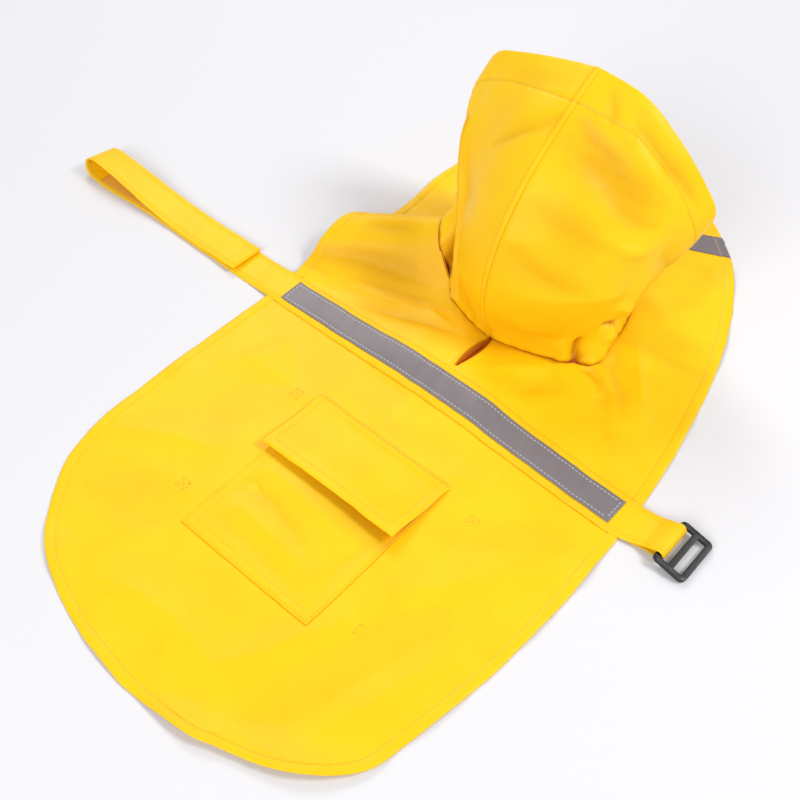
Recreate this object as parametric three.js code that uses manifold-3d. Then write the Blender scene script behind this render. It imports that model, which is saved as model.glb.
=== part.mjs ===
// Dog raincoat: a cape of coated cloth laid flat on its underside, with its two-panel hood standing up.
// Millimetres. +X runs across the coat towards the strap's slide buckle, +Y along the spine towards the
// head, +Z up. The origin is on the table, under the spine, at the lower edge of the back pocket.
import * as THREE from "three";
import { mergeVertices } from "three/addons/utils/BufferGeometryUtils.js";
import Module from "manifold-3d";

const wasm = await Module();
wasm.setup();

// Walls and gaps
const CLOTH = 1.5; // coated cloth, cape and hood
const DOUBLE = 2; // two layers sewn together: strap and pocket flap
const TAPE = 1; // reflective tape
const GAP = 0.3; // between pieces at a seam

// Belly strap: one long band across the back, its left end folded back, its right end round the buckle
const STRAP_LINE = [
  { x: -470, y: 235, width: 34 },
  { x: -200, y: 233.5, width: 36 },
  { x: 0, y: 236, width: 38 },
  { x: 190, y: 231, width: 38 },
  { x: 225, y: 233.5, width: 33 },
  { x: 270, y: 233.5, width: 33 },
];
const TAPE_WIDTH = 25;
const STRAP_TAPE = { left: -174, right: 189 };
const STRAP_LAID = { left: -188, right: 200 }; // where the strap lies on the cape
const TAPE_STEPS = 38;

// Slide buckle
const BUCKLE = { length: 30, width: 44, thick: 4, wall: 4.5, bar: 5, corner: 5 };
const BUCKLE_BAR = { x: 235, z: 8.5 }; // middle of the bar that the strap is sewn round
const SLOT_CORNER = 1;
const EDGE = 0.7; // bevel of the buckle's edges
const BUCKLE_TILT = 0.24; // radians, outer bar down to the table

// Leash slit on the spine, from the neck seam backwards
const SLIT = { back: 268, front: 309, half: 3.5 };

// Back pocket and its flap
const POCKET = { x: 8, width: 137, bottom: 0, height: 150, puff: 2.2, fullest: 0.62 };
const FLAP = { x: 5, width: 143, bottom: 95, top: 163, lift: 4.5, leftLift: 0.45 };
// distance below its top edge over which the flap climbs onto the pocket
const FLAP_TURN = { from: 2, to: 12 };

// Chest tape: middle of its outer end on the hem, its direction across the flap, its length and how far
// it runs past the hem before it is trimmed
const CHEST_TAPE = { x: 93, y: 548, length: 92, past: 15, angle: Math.PI + 0.42 };

// Hood
const BRIM = { band: 28, most: 0.4, extra: 0.7, step: 1.2 };
const HOOD_GRID = { ribs: 22, rows: 13 };
const HOOD_AXIS_Y = 400; // the ribs swell away from an upright axis here
const FOOT = 2; // hood's lower edge above the cape, so that its leaning wall stays clear

// Edge of the cape as it lies: distance along the spine, left edge, right edge
const HEM = [
  { y: -113, left: -38, right: 72 },
  { y: -105, left: -72, right: 97 },
  { y: -92, left: -107, right: 133 },
  { y: -75, left: -133, right: 160 },
  { y: -50, left: -156, right: 182 },
  { y: -20, left: -176, right: 189 },
  { y: 20, left: -186, right: 196 },
  { y: 70, left: -189, right: 202 },
  { y: 140, left: -189, right: 205 },
  { y: 200, left: -188, right: 203 },
  { y: 250, left: -187, right: 200 },
  { y: 310, left: -186, right: 192 },
  { y: 350, left: -179, right: 184 },
  { y: 390, left: -175, right: 175 },
  { y: 430, left: -177, right: 163 },
  { y: 480, left: -177, right: 143 },
];
const TAIL = { x: 17, y: -118 };
const SPLIT_Y = 234; // the back and the two shoulders meet under the strap
const HEM_STEPS = { back: 70, shoulder: 130 }; // points along the hem
const STRAP_MARGIN = 10; // each field of cloth runs this far past that cut before it is trimmed
const LEAST_STEP = 4; // the hem's points keep this far from the cut under the strap

// Front edge of each chest flap, from the last row of the hem to the neck; the right one laps over
const FLAP_FRONT = {
  left: [
    { x: -172, y: 505 },
    { x: -155, y: 535 },
    { x: -128, y: 560 },
    { x: -90, y: 578 },
    { x: -45, y: 588 },
    { x: 5, y: 588 },
    { x: 32, y: 572 },
    { x: 40, y: 535 },
    { x: 38, y: 495 },
  ],
  right: [
    { x: 123, y: 515 },
    { x: 106, y: 539 },
    { x: 82, y: 560 },
    { x: 60, y: 576 },
    { x: 30, y: 588 },
    { x: -10, y: 590 },
    { x: -36, y: 575 },
    { x: -46, y: 540 },
    { x: -44, y: 497 },
  ],
};
const LAP = { from: 66, to: 44, back: 395, front: 425 }; // where the right flap climbs onto the left one
const LAP_REACH = 75; // each flap's field of cloth ends this far past the spine

// Neck seam, from the middle of the back round to the middle of the front
const NECK = {
  left: [
    { x: 0, y: 309 },
    { x: -32, y: 315 },
    { x: -58, y: 323 },
    { x: -80, y: 334 },
    { x: -95, y: 349 },
    { x: -100, y: 372 },
    { x: -96, y: 398 },
    { x: -84, y: 421 },
    { x: -64, y: 442 },
    { x: -36, y: 455 },
    { x: 0, y: 460 },
  ],
  right: [
    { x: 0, y: 309 },
    { x: 30, y: 316 },
    { x: 56, y: 325 },
    { x: 75, y: 336 },
    { x: 81, y: 351 },
    { x: 81, y: 375 },
    { x: 78, y: 402 },
    { x: 69, y: 427 },
    { x: 54, y: 446 },
    { x: 32, y: 456 },
    { x: 0, y: 460 },
  ],
};
const NECK_STEPS = 26;
const NECK_MIDDLE_Y = 386;
const NECK_TURN = 3; // the cape runs this far in under the hood's edge

// Rim of the hood, from the top of the centre seam down each side to the front of the neck
const RIM = {
  left: [
    { x: 0, y: 424, z: 222 },
    { x: -40, y: 429, z: 210 },
    { x: -80, y: 433, z: 196 },
    { x: -109, y: 437, z: 181 },
    { x: -121, y: 440, z: 151 },
    { x: -119, y: 444, z: 112 },
    { x: -104, y: 450, z: 72 },
    { x: -74, y: 457, z: 40 },
    { x: -38, y: 463, z: 22 },
    { x: -8, y: 466, z: 16 },
  ],
  right: [
    { x: 0, y: 424, z: 222 },
    { x: 42, y: 427, z: 214 },
    { x: 78, y: 430, z: 193 },
    { x: 106, y: 434, z: 163 },
    { x: 119, y: 438, z: 133 },
    { x: 108, y: 444, z: 102 },
    { x: 91, y: 450, z: 72 },
    { x: 67, y: 457, z: 44 },
    { x: 38, y: 463, z: 25 },
    { x: 8, y: 466, z: 18 },
  ],
};

// How far a rib of the hood swells out from the straight line between neck and rim, at four heights;
// a row for each place along the rim, from the centre seam to the front
const SWELL_HEIGHTS = { low: 0.15, waist: 0.35, upper: 0.6, top: 0.85 };
const SWELL = {
  left: [
    { along: 0, low: 35, waist: 53, upper: 48, top: 21 },
    { along: 0.1, low: 22, waist: 36, upper: 37, top: 23 },
    { along: 0.2, low: 4, waist: 14, upper: 28, top: 20 },
    { along: 0.3, low: -8, waist: 2, upper: 16, top: 9 },
    { along: 0.4, low: -9, waist: -1, upper: 5, top: 7 },
    { along: 0.55, low: -4, waist: -2, upper: 1, top: 3 },
    { along: 0.75, low: -2, waist: -2, upper: 0, top: 1 },
    { along: 1, low: 0, waist: 0, upper: 0, top: 0 },
  ],
  right: [
    { along: 0, low: 35, waist: 53, upper: 48, top: 21 },
    { along: 0.1, low: 26, waist: 42, upper: 39, top: 19 },
    { along: 0.2, low: 16, waist: 27, upper: 27, top: 15 },
    { along: 0.3, low: 6, waist: 12, upper: 14, top: 8 },
    { along: 0.4, low: -2, waist: 1, upper: 4, top: 3 },
    { along: 0.55, low: -5, waist: -7, upper: -3, top: 0 },
    { along: 0.75, low: -3, waist: -5, upper: -3, top: 0 },
    { along: 1, low: 0, waist: 0, upper: 0, top: 0 },
  ],
};

// Dents and puffs of the hood: side, place along the rim, place up the rib, reach of each, how far out
const HOOD_FOLDS = [
  { side: "right", along: 0.42, up: 0.07, wide: 0.15, tall: 0.1, out: 5 },
  { side: "right", along: 0.42, up: 0.25, wide: 0.15, tall: 0.12, out: -5 },
  { side: "right", along: 0.36, up: 0.62, wide: 0.1, tall: 0.22, out: -4 },
  { side: "right", along: 0.2, up: 0.35, wide: 0.14, tall: 0.3, out: 3 },
  { side: "left", along: 0.14, up: 0.72, wide: 0.1, tall: 0.22, out: -3 },
];

// Folds of the laid cape: a ridge from one place to another, its height at each, its reach back and front
const FOLD_END = 60; // reach of a ridge past its two ends
const FOLDS = [
  { x0: -215, y0: 300, x1: -70, y1: 372, z0: 24, z1: 56, back: 74, front: 54 },
  { x0: -110, y0: 256, x1: 110, y1: 256, z0: 2, z1: 2, back: 65, front: 75 },
  { x0: -40, y0: 258, x1: 40, y1: 258, z0: 5, z1: 5, back: 65, front: 75 },
  { x0: 92, y0: 342, x1: 188, y1: 300, z0: 4, z1: 1, back: 26, front: 20 },
  { x0: 92, y0: 372, x1: 165, y1: 420, z0: 4, z1: 1, back: 26, front: 26 },
  { x0: 60, y0: -130, x1: 200, y1: -60, z0: 4, z1: 5, back: 60, front: 45 },
];

// Folded-back left end of the strap: path of its outer face, from the cut end round to the cape
const LOOP_PATH = [
  { x: -232, z: 4.3 },
  { x: -300, z: 4.3 },
  { x: -326, z: 5 },
  { x: -352, z: 8.5 },
  { x: -382, z: 15.5 },
  { x: -410, z: 21.5 },
  { x: -430, z: 23.5 },
  { x: -443, z: 20.5 },
  { x: -448, z: 13.5 },
  { x: -442, z: 6 },
  { x: -426, z: 1.5 },
  { x: -400, z: 0 },
  { x: -330, z: 0 },
  { x: -225, z: 0 },
  { x: -207, z: 0.6 },
  { x: -194, z: 1.7 },
];

const LOOP_SAG = 0.45; // share of the fold's height that its far edge loses
const LOOP_FLOOR = 4.3; // height up to which the fold lies level

// Right end of the strap: lower face out to the buckle's bar, and back from under it to its cut end
const WRAP_RADIUS = 3.6;
const BUCKLE_RUN = {
  out: [
    { x: 205, z: 2.1 },
    { x: 211, z: 2.7 },
    { x: 220, z: 4.6 },
    { x: 229, z: 9 },
  ],
  back: [
    { x: 229, z: 3.9 },
    { x: 220, z: 2.9 },
    { x: 211, z: 2.3 },
  ],
};
const FASTENER = { left: -430, right: -345, width: 31 };

// Lines of the cape's cloth: close together where it is folded, wide apart where it lies flat
const LINES_X = [...spread(-205, -40, 13), ...spread(-22, 103, 6), ...spread(122, 215, 5)];
const LINES_Y = [
  ...spread(-130, -10, 7),
  80,
  165,
  ...spread(200, 270, 10),
  ...spread(280, 410, 13),
  ...spread(432, 610, 6),
];

const CUTTER = { depth: 200, below: 20 };

// Smooth bell from 1 at the middle to 0 at the reach.
function bell(distance) {
  const q = Math.min(Math.abs(distance), 1);
  return (1 - q * q) ** 3;
}

// Smooth step from 0 to 1 as value goes from low to high.
function ease(value, low, high) {
  return THREE.MathUtils.smoothstep(value, low, high);
}

// Height of one fold at a place on the table.
function foldHeight(fold, x, y) {
  const along = new THREE.Vector2(fold.x1 - fold.x0, fold.y1 - fold.y0);
  const length = along.length();
  along.divideScalar(length);
  const dx = x - fold.x0;
  const dy = y - fold.y0;
  const run = dx * along.x + dy * along.y;
  const across = dy * along.x - dx * along.y;
  const t = THREE.MathUtils.clamp(run / length, 0, 1);
  const past = run - t * length;
  const reach = across > 0 ? fold.front : fold.back;
  return THREE.MathUtils.lerp(fold.z0, fold.z1, t) * bell(Math.hypot(across / reach, past / FOLD_END));
}

// Underside of the cape above the table.
function rise(x, y) {
  return FOLDS.reduce((height, fold) => height + foldHeight(fold, x, y), 0);
}

// Underside of the right chest flap, which climbs onto the end of the left one.
function riseRight(x, y) {
  const climb = ease(LAP.from - x, 0, LAP.from - LAP.to) * ease(y, LAP.back, LAP.front);
  return rise(x, y) + (CLOTH + GAP) * climb;
}

// Top of the cape's faceted cloth, where another piece lies on it.
function capeTop(x, y, underside = rise) {
  const j = cell(LINES_X, x);
  const i = cell(LINES_Y, y);
  const u = (x - LINES_X[j]) / (LINES_X[j + 1] - LINES_X[j]);
  const v = (y - LINES_Y[i]) / (LINES_Y[i + 1] - LINES_Y[i]);
  const at = (row, column) => underside(LINES_X[column], LINES_Y[row]);
  const corner = at(i, j);
  const far = at(i + 1, j + 1);
  const side = u > v ? at(i, j + 1) : at(i + 1, j);
  const [riseX, riseY] = u > v ? [side - corner, far - side] : [far - side, side - corner];
  const slopeX = riseX / (LINES_X[j + 1] - LINES_X[j]);
  const slopeY = riseY / (LINES_Y[i + 1] - LINES_Y[i]);
  return corner + u * riseX + v * riseY + CLOTH * Math.hypot(1, slopeX, slopeY);
}

// Number of the cell that a value lies in, between rising lines.
function cell(lines, value) {
  const next = lines.findIndex((line) => line > value);
  return (next < 1 ? (next === 0 ? 1 : lines.length - 1) : next) - 1;
}

// A closed wall over a grid of points: rows of THREE.Vector3, thickened along their normals.
function wall(rows, thickness) {
  const count = rows.length;
  const width = rows[0].length;
  const normals = rows.map((row, i) =>
    row.map((point, j) => {
      const ahead = rows[Math.min(i + 1, count - 1)][j];
      const behind = rows[Math.max(i - 1, 0)][j];
      const right = row[Math.min(j + 1, width - 1)];
      const left = row[Math.max(j - 1, 0)];
      const alongRows = ahead.clone().sub(behind);
      return right.clone().sub(left).cross(alongRows).normalize();
    }),
  );
  const wallAt = typeof thickness === "function" ? thickness : () => thickness;
  const positions = [];
  rows.flat().forEach((point) => positions.push(point.x, point.y, point.z));
  rows.forEach((row, i) =>
    row.forEach((point, j) => {
      const outer = point.clone().addScaledVector(normals[i][j], wallAt(i, j));
      positions.push(outer.x, outer.y, outer.z);
    }),
  );
  const index = [];
  const inner = (i, j) => i * width + j;
  const outer = (i, j) => count * width + i * width + j;
  const quad = (a, b, c, d) => index.push(a, b, c, a, c, d);
  for (let i = 0; i < count - 1; i++) {
    for (let j = 0; j < width - 1; j++) {
      quad(outer(i, j), outer(i, j + 1), outer(i + 1, j + 1), outer(i + 1, j));
      quad(inner(i, j), inner(i + 1, j), inner(i + 1, j + 1), inner(i, j + 1));
    }
  }
  for (let j = 0; j < width - 1; j++) {
    quad(inner(0, j), inner(0, j + 1), outer(0, j + 1), outer(0, j));
    quad(inner(count - 1, j + 1), inner(count - 1, j), outer(count - 1, j), outer(count - 1, j + 1));
  }
  for (let i = 0; i < count - 1; i++) {
    quad(inner(i + 1, 0), inner(i, 0), outer(i, 0), outer(i + 1, 0));
    quad(inner(i, width - 1), inner(i + 1, width - 1), outer(i + 1, width - 1), outer(i, width - 1));
  }
  const geometry = new THREE.BufferGeometry();
  geometry.setAttribute("position", new THREE.Float32BufferAttribute(positions, 3));
  geometry.setIndex(index);
  return geometry;
}

// A closed geometry as a solid that can be cut.
function solid(geometry) {
  const bare = geometry.clone();
  bare.deleteAttribute("normal");
  bare.deleteAttribute("uv");
  const merged = mergeVertices(bare, 1e-4);
  return new wasm.Manifold(
    new wasm.Mesh({
      numProp: 3,
      vertProperties: merged.attributes.position.array,
      triVerts: new Uint32Array(merged.index.array),
    }),
  );
}

// A cut solid as a geometry again.
function geometryOf(cut) {
  const mesh = cut.getMesh();
  const geometry = new THREE.BufferGeometry();
  geometry.setAttribute("position", new THREE.Float32BufferAttribute(mesh.vertProperties, 3));
  geometry.setIndex([...mesh.triVerts]);
  return geometry;
}

// Smooth run of plan points through a table's rows.
function smooth(rows, steps) {
  const curve = new THREE.SplineCurve(rows.map((row) => new THREE.Vector2(row.x, row.y)));
  return curve.getSpacedPoints(steps);
}

// Evenly spaced values from one number to another, both included.
function spread(from, to, steps) {
  return Array.from({ length: steps + 1 }, (_, i) => THREE.MathUtils.lerp(from, to, i / steps));
}

// An upright block over a plan outline, taller than any fold, to cut a field of cloth with.
function cutter(points) {
  const { depth, below } = CUTTER;
  const block = new THREE.ExtrudeGeometry(new THREE.Shape(points), { depth, bevelEnabled: false });
  block.translate(0, 0, -below);
  return solid(block);
}

// A field of laid cloth over lines of x and y, with the given underside.
function field(xs, ys, underside) {
  const rows = ys.map((y) => xs.map((x) => new THREE.Vector3(x, y, underside(x, y))));
  return solid(wall(rows, CLOTH));
}

// Hem of one side as plan points, from the tail's tip to the last row of its table.
function hemSide(side) {
  return [TAIL, ...HEM.map((row) => ({ x: row[side], y: row.y }))];
}

// The back of the cape, from the tail to the middle of the strap.
function backPanel() {
  const hemOf = (side) => smooth(hemSide(side), HEM_STEPS.back).filter((p) => p.y < SPLIT_Y - LEAST_STEP);
  const edge = SPLIT_Y - GAP / 2;
  const hem = HEM.find((row) => row.y === 250);
  const outline = [
    ...hemOf("right"),
    new THREE.Vector2(hem.right, edge),
    new THREE.Vector2(hem.left, edge),
    ...hemOf("left").slice(1).reverse(),
  ];
  const ys = LINES_Y.filter((y) => y < SPLIT_Y + STRAP_MARGIN);
  return geometryOf(field(LINES_X, ys, rise).intersect(cutter(outline)));
}

// Edge of the leash slit on one side of the spine, from its back end to the neck.
function slitEdge(sign) {
  return spread(SLIT.back, SLIT.front, 8).map((y, i) => {
    const open = SLIT.half * Math.sin((Math.PI * i) / 8) ** 0.7;
    return new THREE.Vector2(sign * (GAP / 2 + open), y);
  });
}

// Outline of one shoulder with its chest flap: from the spine out to the hem and round to the front,
// then back along the neck and the edge of the leash slit.
function shoulderOutline(side) {
  const sign = side === "left" ? -1 : 1;
  const start = SPLIT_Y + GAP / 2;
  const edge = smooth([...hemSide(side), ...FLAP_FRONT[side]], HEM_STEPS.shoulder);
  const outer = edge.slice(edge.findIndex((p) => p.y > start + LEAST_STEP));
  const end = FLAP_FRONT[side].at(-1).x;
  const across = neckHole(side === "left" ? "right" : "left").filter((p) => p.y > LAP.front && p.x / end < 1);
  const around = neckHole(side).reverse().slice(1, -1);
  return [
    new THREE.Vector2((sign * GAP) / 2, start),
    new THREE.Vector2(outer[0].x, start),
    ...outer,
    ...across,
    ...around,
    new THREE.Vector2((sign * GAP) / 2, SLIT.front + NECK_TURN),
    ...slitEdge(sign).reverse(),
  ];
}

// One shoulder with its chest flap.
function shoulder(side) {
  const xs = LINES_X.filter((x) => (side === "left" ? x < LAP_REACH : x > -LAP_REACH));
  const ys = LINES_Y.filter((y) => y > SPLIT_Y - STRAP_MARGIN);
  const underside = side === "left" ? rise : riseRight;
  return geometryOf(field(xs, ys, underside).intersect(cutter(shoulderOutline(side))));
}

// Edge of the neck hole on one side, a little inside the neck seam.
function neckHole(side) {
  return neckCurve(side).map((p) => inset(p, NECK_TURN));
}

// Neck seam of one side as plan points, from the back to the front.
function neckCurve(side) {
  return smooth(NECK[side], NECK_STEPS);
}

// A point of the neck seam moved towards the neck's middle.
function inset(point, distance) {
  const middle = new THREE.Vector2(0, NECK_MIDDLE_Y);
  const inward = middle.sub(point).setLength(distance);
  return point.clone().add(inward);
}

// Smooth curve through the values of a table's column.
function through(places, values) {
  return new THREE.CubicInterpolant(places, values, 1, new Float32Array(1));
}

// Swell of one rib of the hood, as a smooth curve from the neck to the rim.
function swellOf(side, along) {
  const rows = SWELL[side];
  const places = rows.map((row) => row.along);
  const values = Object.keys(SWELL_HEIGHTS).map((height) => {
    const column = rows.map((row) => row[height]);
    return through(places, column).evaluate(along)[0];
  });
  return through([0, ...Object.values(SWELL_HEIGHTS), 1], [0, ...values, 0]);
}

// How far the hood's folds push it out at a place.
function foldOut(side, along, up) {
  return HOOD_FOLDS.filter((fold) => fold.side === side).reduce((sum, fold) => {
    const reach = Math.hypot((along - fold.along) / fold.wide, (up - fold.up) / fold.tall);
    return sum + fold.out * bell(reach);
  }, 0);
}

// Height of the cape's top where the hood's edge stands on it.
function neckHeight(side, x, y) {
  const lapped = side === "right" || x > FLAP_FRONT.right.at(-1).x;
  return capeTop(x, y, lapped && y > LAP.front ? riseRight : rise) + FOOT;
}

// One panel of the hood: ribs from the neck to the rim, in order from the centre seam to the front.
function hoodPanel(side) {
  const sign = side === "left" ? -1 : 1;
  const { ribs, rows } = HOOD_GRID;
  const rim = new THREE.CatmullRomCurve3(RIM[side].map((p) => new THREE.Vector3(p.x, p.y, p.z)));
  const neck = smooth(NECK[side], ribs);
  const grid = spread(0, 1, ribs).map((along, rib) => {
    const top = rim.getPointAt(along);
    const foot = neck[rib];
    const base = new THREE.Vector3(foot.x, foot.y, neckHeight(side, foot.x, foot.y));
    const chord = top.clone().sub(base);
    const length = chord.length();
    const middle = base.clone().addScaledVector(chord, 0.5);
    const outward = new THREE.Vector3(middle.x, middle.y - HOOD_AXIS_Y, 0).normalize();
    const unit = chord.clone().normalize();
    outward.addScaledVector(unit, -outward.dot(unit)).normalize();
    const swell = swellOf(side, along);
    const band = Math.min(BRIM.band / length, BRIM.most);
    const step = BRIM.step / length;
    const ups = [...spread(0, 1 - band - step, rows - 3), 1 - band, 1 - band / 2, 1];
    return ups.map((up) => {
      const out = swell.evaluate(up)[0] + foldOut(side, along, up);
      const point = base.clone().addScaledVector(chord, up).addScaledVector(outward, out);
      if (rib === 0 || sign * point.x < GAP / 2) {
        point.x = (sign * GAP) / 2;
      }
      return point;
    });
  });
  const brimRow = rows - 3;
  const thickness = (rib, row) => CLOTH + (row > brimRow ? BRIM.extra : 0);
  if (side === "left") {
    return wall(grid, thickness);
  }
  return wall(grid.reverse(), (rib, row) => thickness(ribs - rib, row));
}

// Value of a column of the strap's line at a distance across the coat.
function strapAt(x, column) {
  const next = Math.max(
    1,
    STRAP_LINE.findIndex((row) => row.x >= x),
  );
  const low = STRAP_LINE[next - 1];
  const high = STRAP_LINE[next];
  return THREE.MathUtils.lerp(low[column], high[column], ease(x, low.x, high.x));
}

// Middle of the strap along Y.
function strapMiddle(x) {
  return strapAt(x, "y");
}

// Path of the strap's lower face off the cape as rows of distance across and height.
function pathThrough(table, steps) {
  const points = table.map((row) => new THREE.Vector3(row.x, 0, row.z));
  const curve = new THREE.CatmullRomCurve3(points, false, "centripetal");
  return curve.getPoints(steps).map((p) => ({ x: p.x, z: Math.max(p.z, 0) }));
}

// The strap's right end: down off the cape, round the buckle's bar and back underneath.
function buckleEnd() {
  const { x, z } = BUCKLE_BAR;
  const turn = spread(Math.PI / 2, -Math.PI / 2, 10).map((angle) => ({
    x: x + WRAP_RADIUS * Math.cos(angle),
    z: z + WRAP_RADIUS * Math.sin(angle),
  }));
  return [...pathThrough(BUCKLE_RUN.out, 12), ...turn, ...pathThrough(BUCKLE_RUN.back, 6)];
}

// A band along the strap's path: one row of points for each place, moved out along the path's normal.
// The lines are distances from the strap's middle; where the fold stands up its far edge hangs lower.
function band(path, linesAt, lift, thickness) {
  const rows = path.map((place, i) => {
    const ahead = path[Math.min(i + 1, path.length - 1)];
    const behind = path[Math.max(i - 1, 0)];
    const normal = new THREE.Vector2(behind.z - ahead.z, ahead.x - behind.x).normalize();
    return linesAt(place.x).map((line) => {
      const y = strapMiddle(place.x) + line;
      const height = place.laid ? capeTop(place.x, y) + GAP : place.z - foldSag(place, line);
      return new THREE.Vector3(place.x + normal.x * lift, y, height + normal.y * lift);
    });
  });
  return wall(rows, thickness);
}

// How much lower than its near edge the fold hangs at a line across the strap.
function foldSag(place, line) {
  const across = 0.5 + line / strapAt(place.x, "width");
  return place.loop ? LOOP_SAG * across * Math.max(place.z - LOOP_FLOOR, 0) : 0;
}

// The places where the strap lies on the cape.
function laidPlaces(from, to, steps) {
  return spread(from, to, steps).map((x) => ({ x, z: capeTop(x, strapMiddle(x)) + GAP, laid: true }));
}

// Lines across a tape, from its far edge to its near one.
function tapeLines(width) {
  return spread(width / 2, -width / 2, 3);
}

// Lines across the strap: those of its tape between its own two edges.
function strapLines(x) {
  const half = strapAt(x, "width") / 2;
  return [half, ...tapeLines(TAPE_WIDTH), -half];
}

// The folded-back left end of the strap.
function foldPath() {
  return pathThrough(LOOP_PATH, 48).map((place) => ({ ...place, loop: true }));
}

// The belly strap from its folded-back left end across the cape to its end under the buckle.
function strap() {
  const { left, right } = STRAP_TAPE;
  const laid = [
    ...laidPlaces(STRAP_LAID.left, left, 2).slice(0, -1),
    ...laidPlaces(left, right, TAPE_STEPS),
    ...laidPlaces(right, STRAP_LAID.right, 2).slice(1),
  ];
  return band([...foldPath(), ...laid, ...buckleEnd()], strapLines, 0, DOUBLE);
}

// Soft side of the hook-and-loop fastener, on the strap's face inside the fold.
function fastener() {
  const turn = foldPath().findIndex((place, i, path) => path[i + 1].x > place.x);
  const lower = foldPath().slice(turn);
  const inside = lower.filter((place) => place.x > FASTENER.left && place.x < FASTENER.right);
  return band(inside, () => tapeLines(FASTENER.width), DOUBLE + GAP, TAPE);
}

// Reflective tape along the strap.
function strapTape() {
  const places = laidPlaces(STRAP_TAPE.left, STRAP_TAPE.right, TAPE_STEPS);
  return band(places, () => tapeLines(TAPE_WIDTH), DOUBLE + GAP, TAPE);
}

// Height of the pocket's swell over the cape.
function pocketPuff(x, y) {
  const across = (x - POCKET.x) / (POCKET.width / 2);
  const fullest = POCKET.height * POCKET.fullest;
  const along = (y - POCKET.bottom - fullest) / fullest;
  return POCKET.puff * bell(across) * bell(along);
}

// A rectangular piece lying on the cape, its lower face at the given height above the cape's top.
function laidPiece(left, right, bottom, top, thickness, height) {
  const rows = spread(bottom, top, 8).map((y) =>
    spread(left, right, 9).map((x) => new THREE.Vector3(x, y, capeTop(x, y) + height(x, y))),
  );
  return wall(rows, thickness);
}

// Patch pocket, sewn at its sides and lower edge.
function pocket() {
  const left = POCKET.x - POCKET.width / 2;
  const top = POCKET.bottom + POCKET.height;
  return laidPiece(left, left + POCKET.width, POCKET.bottom, top, CLOTH, (x, y) => GAP + pocketPuff(x, y));
}

// Pocket flap, sewn along its top edge, its lower edge standing a little proud.
function pocketFlap() {
  const left = FLAP.x - FLAP.width / 2;
  const right = left + FLAP.width;
  return laidPiece(left, right, FLAP.bottom, FLAP.top, DOUBLE, (x, y) => {
    const down = FLAP.top - y;
    const over = ease(down, FLAP_TURN.from, FLAP_TURN.to) * (CLOTH + GAP + pocketPuff(x, y));
    const corner = THREE.MathUtils.lerp(FLAP.leftLift, 1, ease(x, left, right));
    return GAP + over + FLAP.lift * corner * ease(down, FLAP_TURN.to, FLAP.top - FLAP.bottom);
  });
}

// Reflective tape across the right chest flap, trimmed at the hem.
function chestTape() {
  const along = new THREE.Vector2(Math.cos(CHEST_TAPE.angle), Math.sin(CHEST_TAPE.angle));
  const across = new THREE.Vector2(-along.y, along.x);
  const rows = spread(-CHEST_TAPE.past, CHEST_TAPE.length, 10).map((run) =>
    spread(TAPE_WIDTH / 2, -TAPE_WIDTH / 2, 3).map((line) => {
      const x = CHEST_TAPE.x + along.x * run + across.x * line;
      const y = CHEST_TAPE.y + along.y * run + across.y * line;
      return new THREE.Vector3(x, y, capeTop(x, y, riseRight) + GAP);
    }),
  );
  return geometryOf(solid(wall(rows, TAPE)).intersect(cutter(shoulderOutline("right"))));
}

// Outline with round corners, about the origin.
function roundedPlate(width, height, radius) {
  const shape = new THREE.Shape();
  const w = width / 2 - radius;
  const h = height / 2 - radius;
  shape.absarc(w, h, radius, 0, Math.PI / 2);
  shape.absarc(-w, h, radius, Math.PI / 2, Math.PI);
  shape.absarc(-w, -h, radius, Math.PI, 1.5 * Math.PI);
  shape.absarc(w, -h, radius, 1.5 * Math.PI, 2 * Math.PI);
  shape.closePath();
  return shape;
}

// Slide buckle: a moulded plate with two slots and three bars, the strap sewn round the first bar.
function buckle() {
  const { length, width, wall: arm, bar, corner, thick } = BUCKLE;
  const plate = roundedPlate(length, width, corner);
  const slot = (length - 3 * bar) / 2;
  for (const side of [-1, 1]) {
    const hole = roundedPlate(slot, width - 2 * arm, SLOT_CORNER);
    const middle = (side * (bar + slot)) / 2;
    plate.holes.push(new THREE.Path(hole.getPoints(2).map((p) => new THREE.Vector2(p.x + middle, p.y))));
  }
  const geometry = new THREE.ExtrudeGeometry(plate, {
    depth: thick - 2 * EDGE,
    curveSegments: 3,
    bevelThickness: EDGE,
    bevelSize: EDGE,
    bevelOffset: -EDGE,
    bevelSegments: 1,
  });
  geometry.translate(length / 2 - bar / 2, 0, EDGE - thick / 2);
  geometry.deleteAttribute("normal");
  geometry.deleteAttribute("uv");
  return mergeVertices(geometry, 1e-4);
}

const FINISHES = {
  cloth: { color: "#ffd21f", roughness: 0.5, metalness: 0 },
  tape: { color: "#8f868a", roughness: 0.45, metalness: 0.2 },
  fuzz: { color: "#e0b24a", roughness: 0.95, metalness: 0 },
  plastic: { color: "#2c2d33", roughness: 0.45, metalness: 0 },
};

// A named piece of the coat in one of its finishes.
function piece(name, geometry, finish) {
  const mesh = new THREE.Mesh(geometry, new THREE.MeshStandardMaterial(FINISHES[finish]));
  mesh.name = name;
  return mesh;
}

const coat = new THREE.Group();
coat.add(
  piece("back_panel", backPanel(), "cloth"),
  piece("shoulder_left", shoulder("left"), "cloth"),
  piece("shoulder_right", shoulder("right"), "cloth"),
  piece("hood_left", hoodPanel("left"), "cloth"),
  piece("hood_right", hoodPanel("right"), "cloth"),
  piece("pocket", pocket(), "cloth"),
  piece("pocket_flap", pocketFlap(), "cloth"),
  piece("belly_strap", strap(), "cloth"),
  piece("strap_fastener", fastener(), "fuzz"),
  piece("strap_tape", strapTape(), "tape"),
  piece("chest_tape", chestTape(), "tape"),
);

const slide = piece("slide_buckle", buckle(), "plastic");
slide.position.set(BUCKLE_BAR.x, strapMiddle(BUCKLE_BAR.x), BUCKLE_BAR.z);
slide.rotation.y = BUCKLE_TILT;
coat.add(slide);

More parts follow.
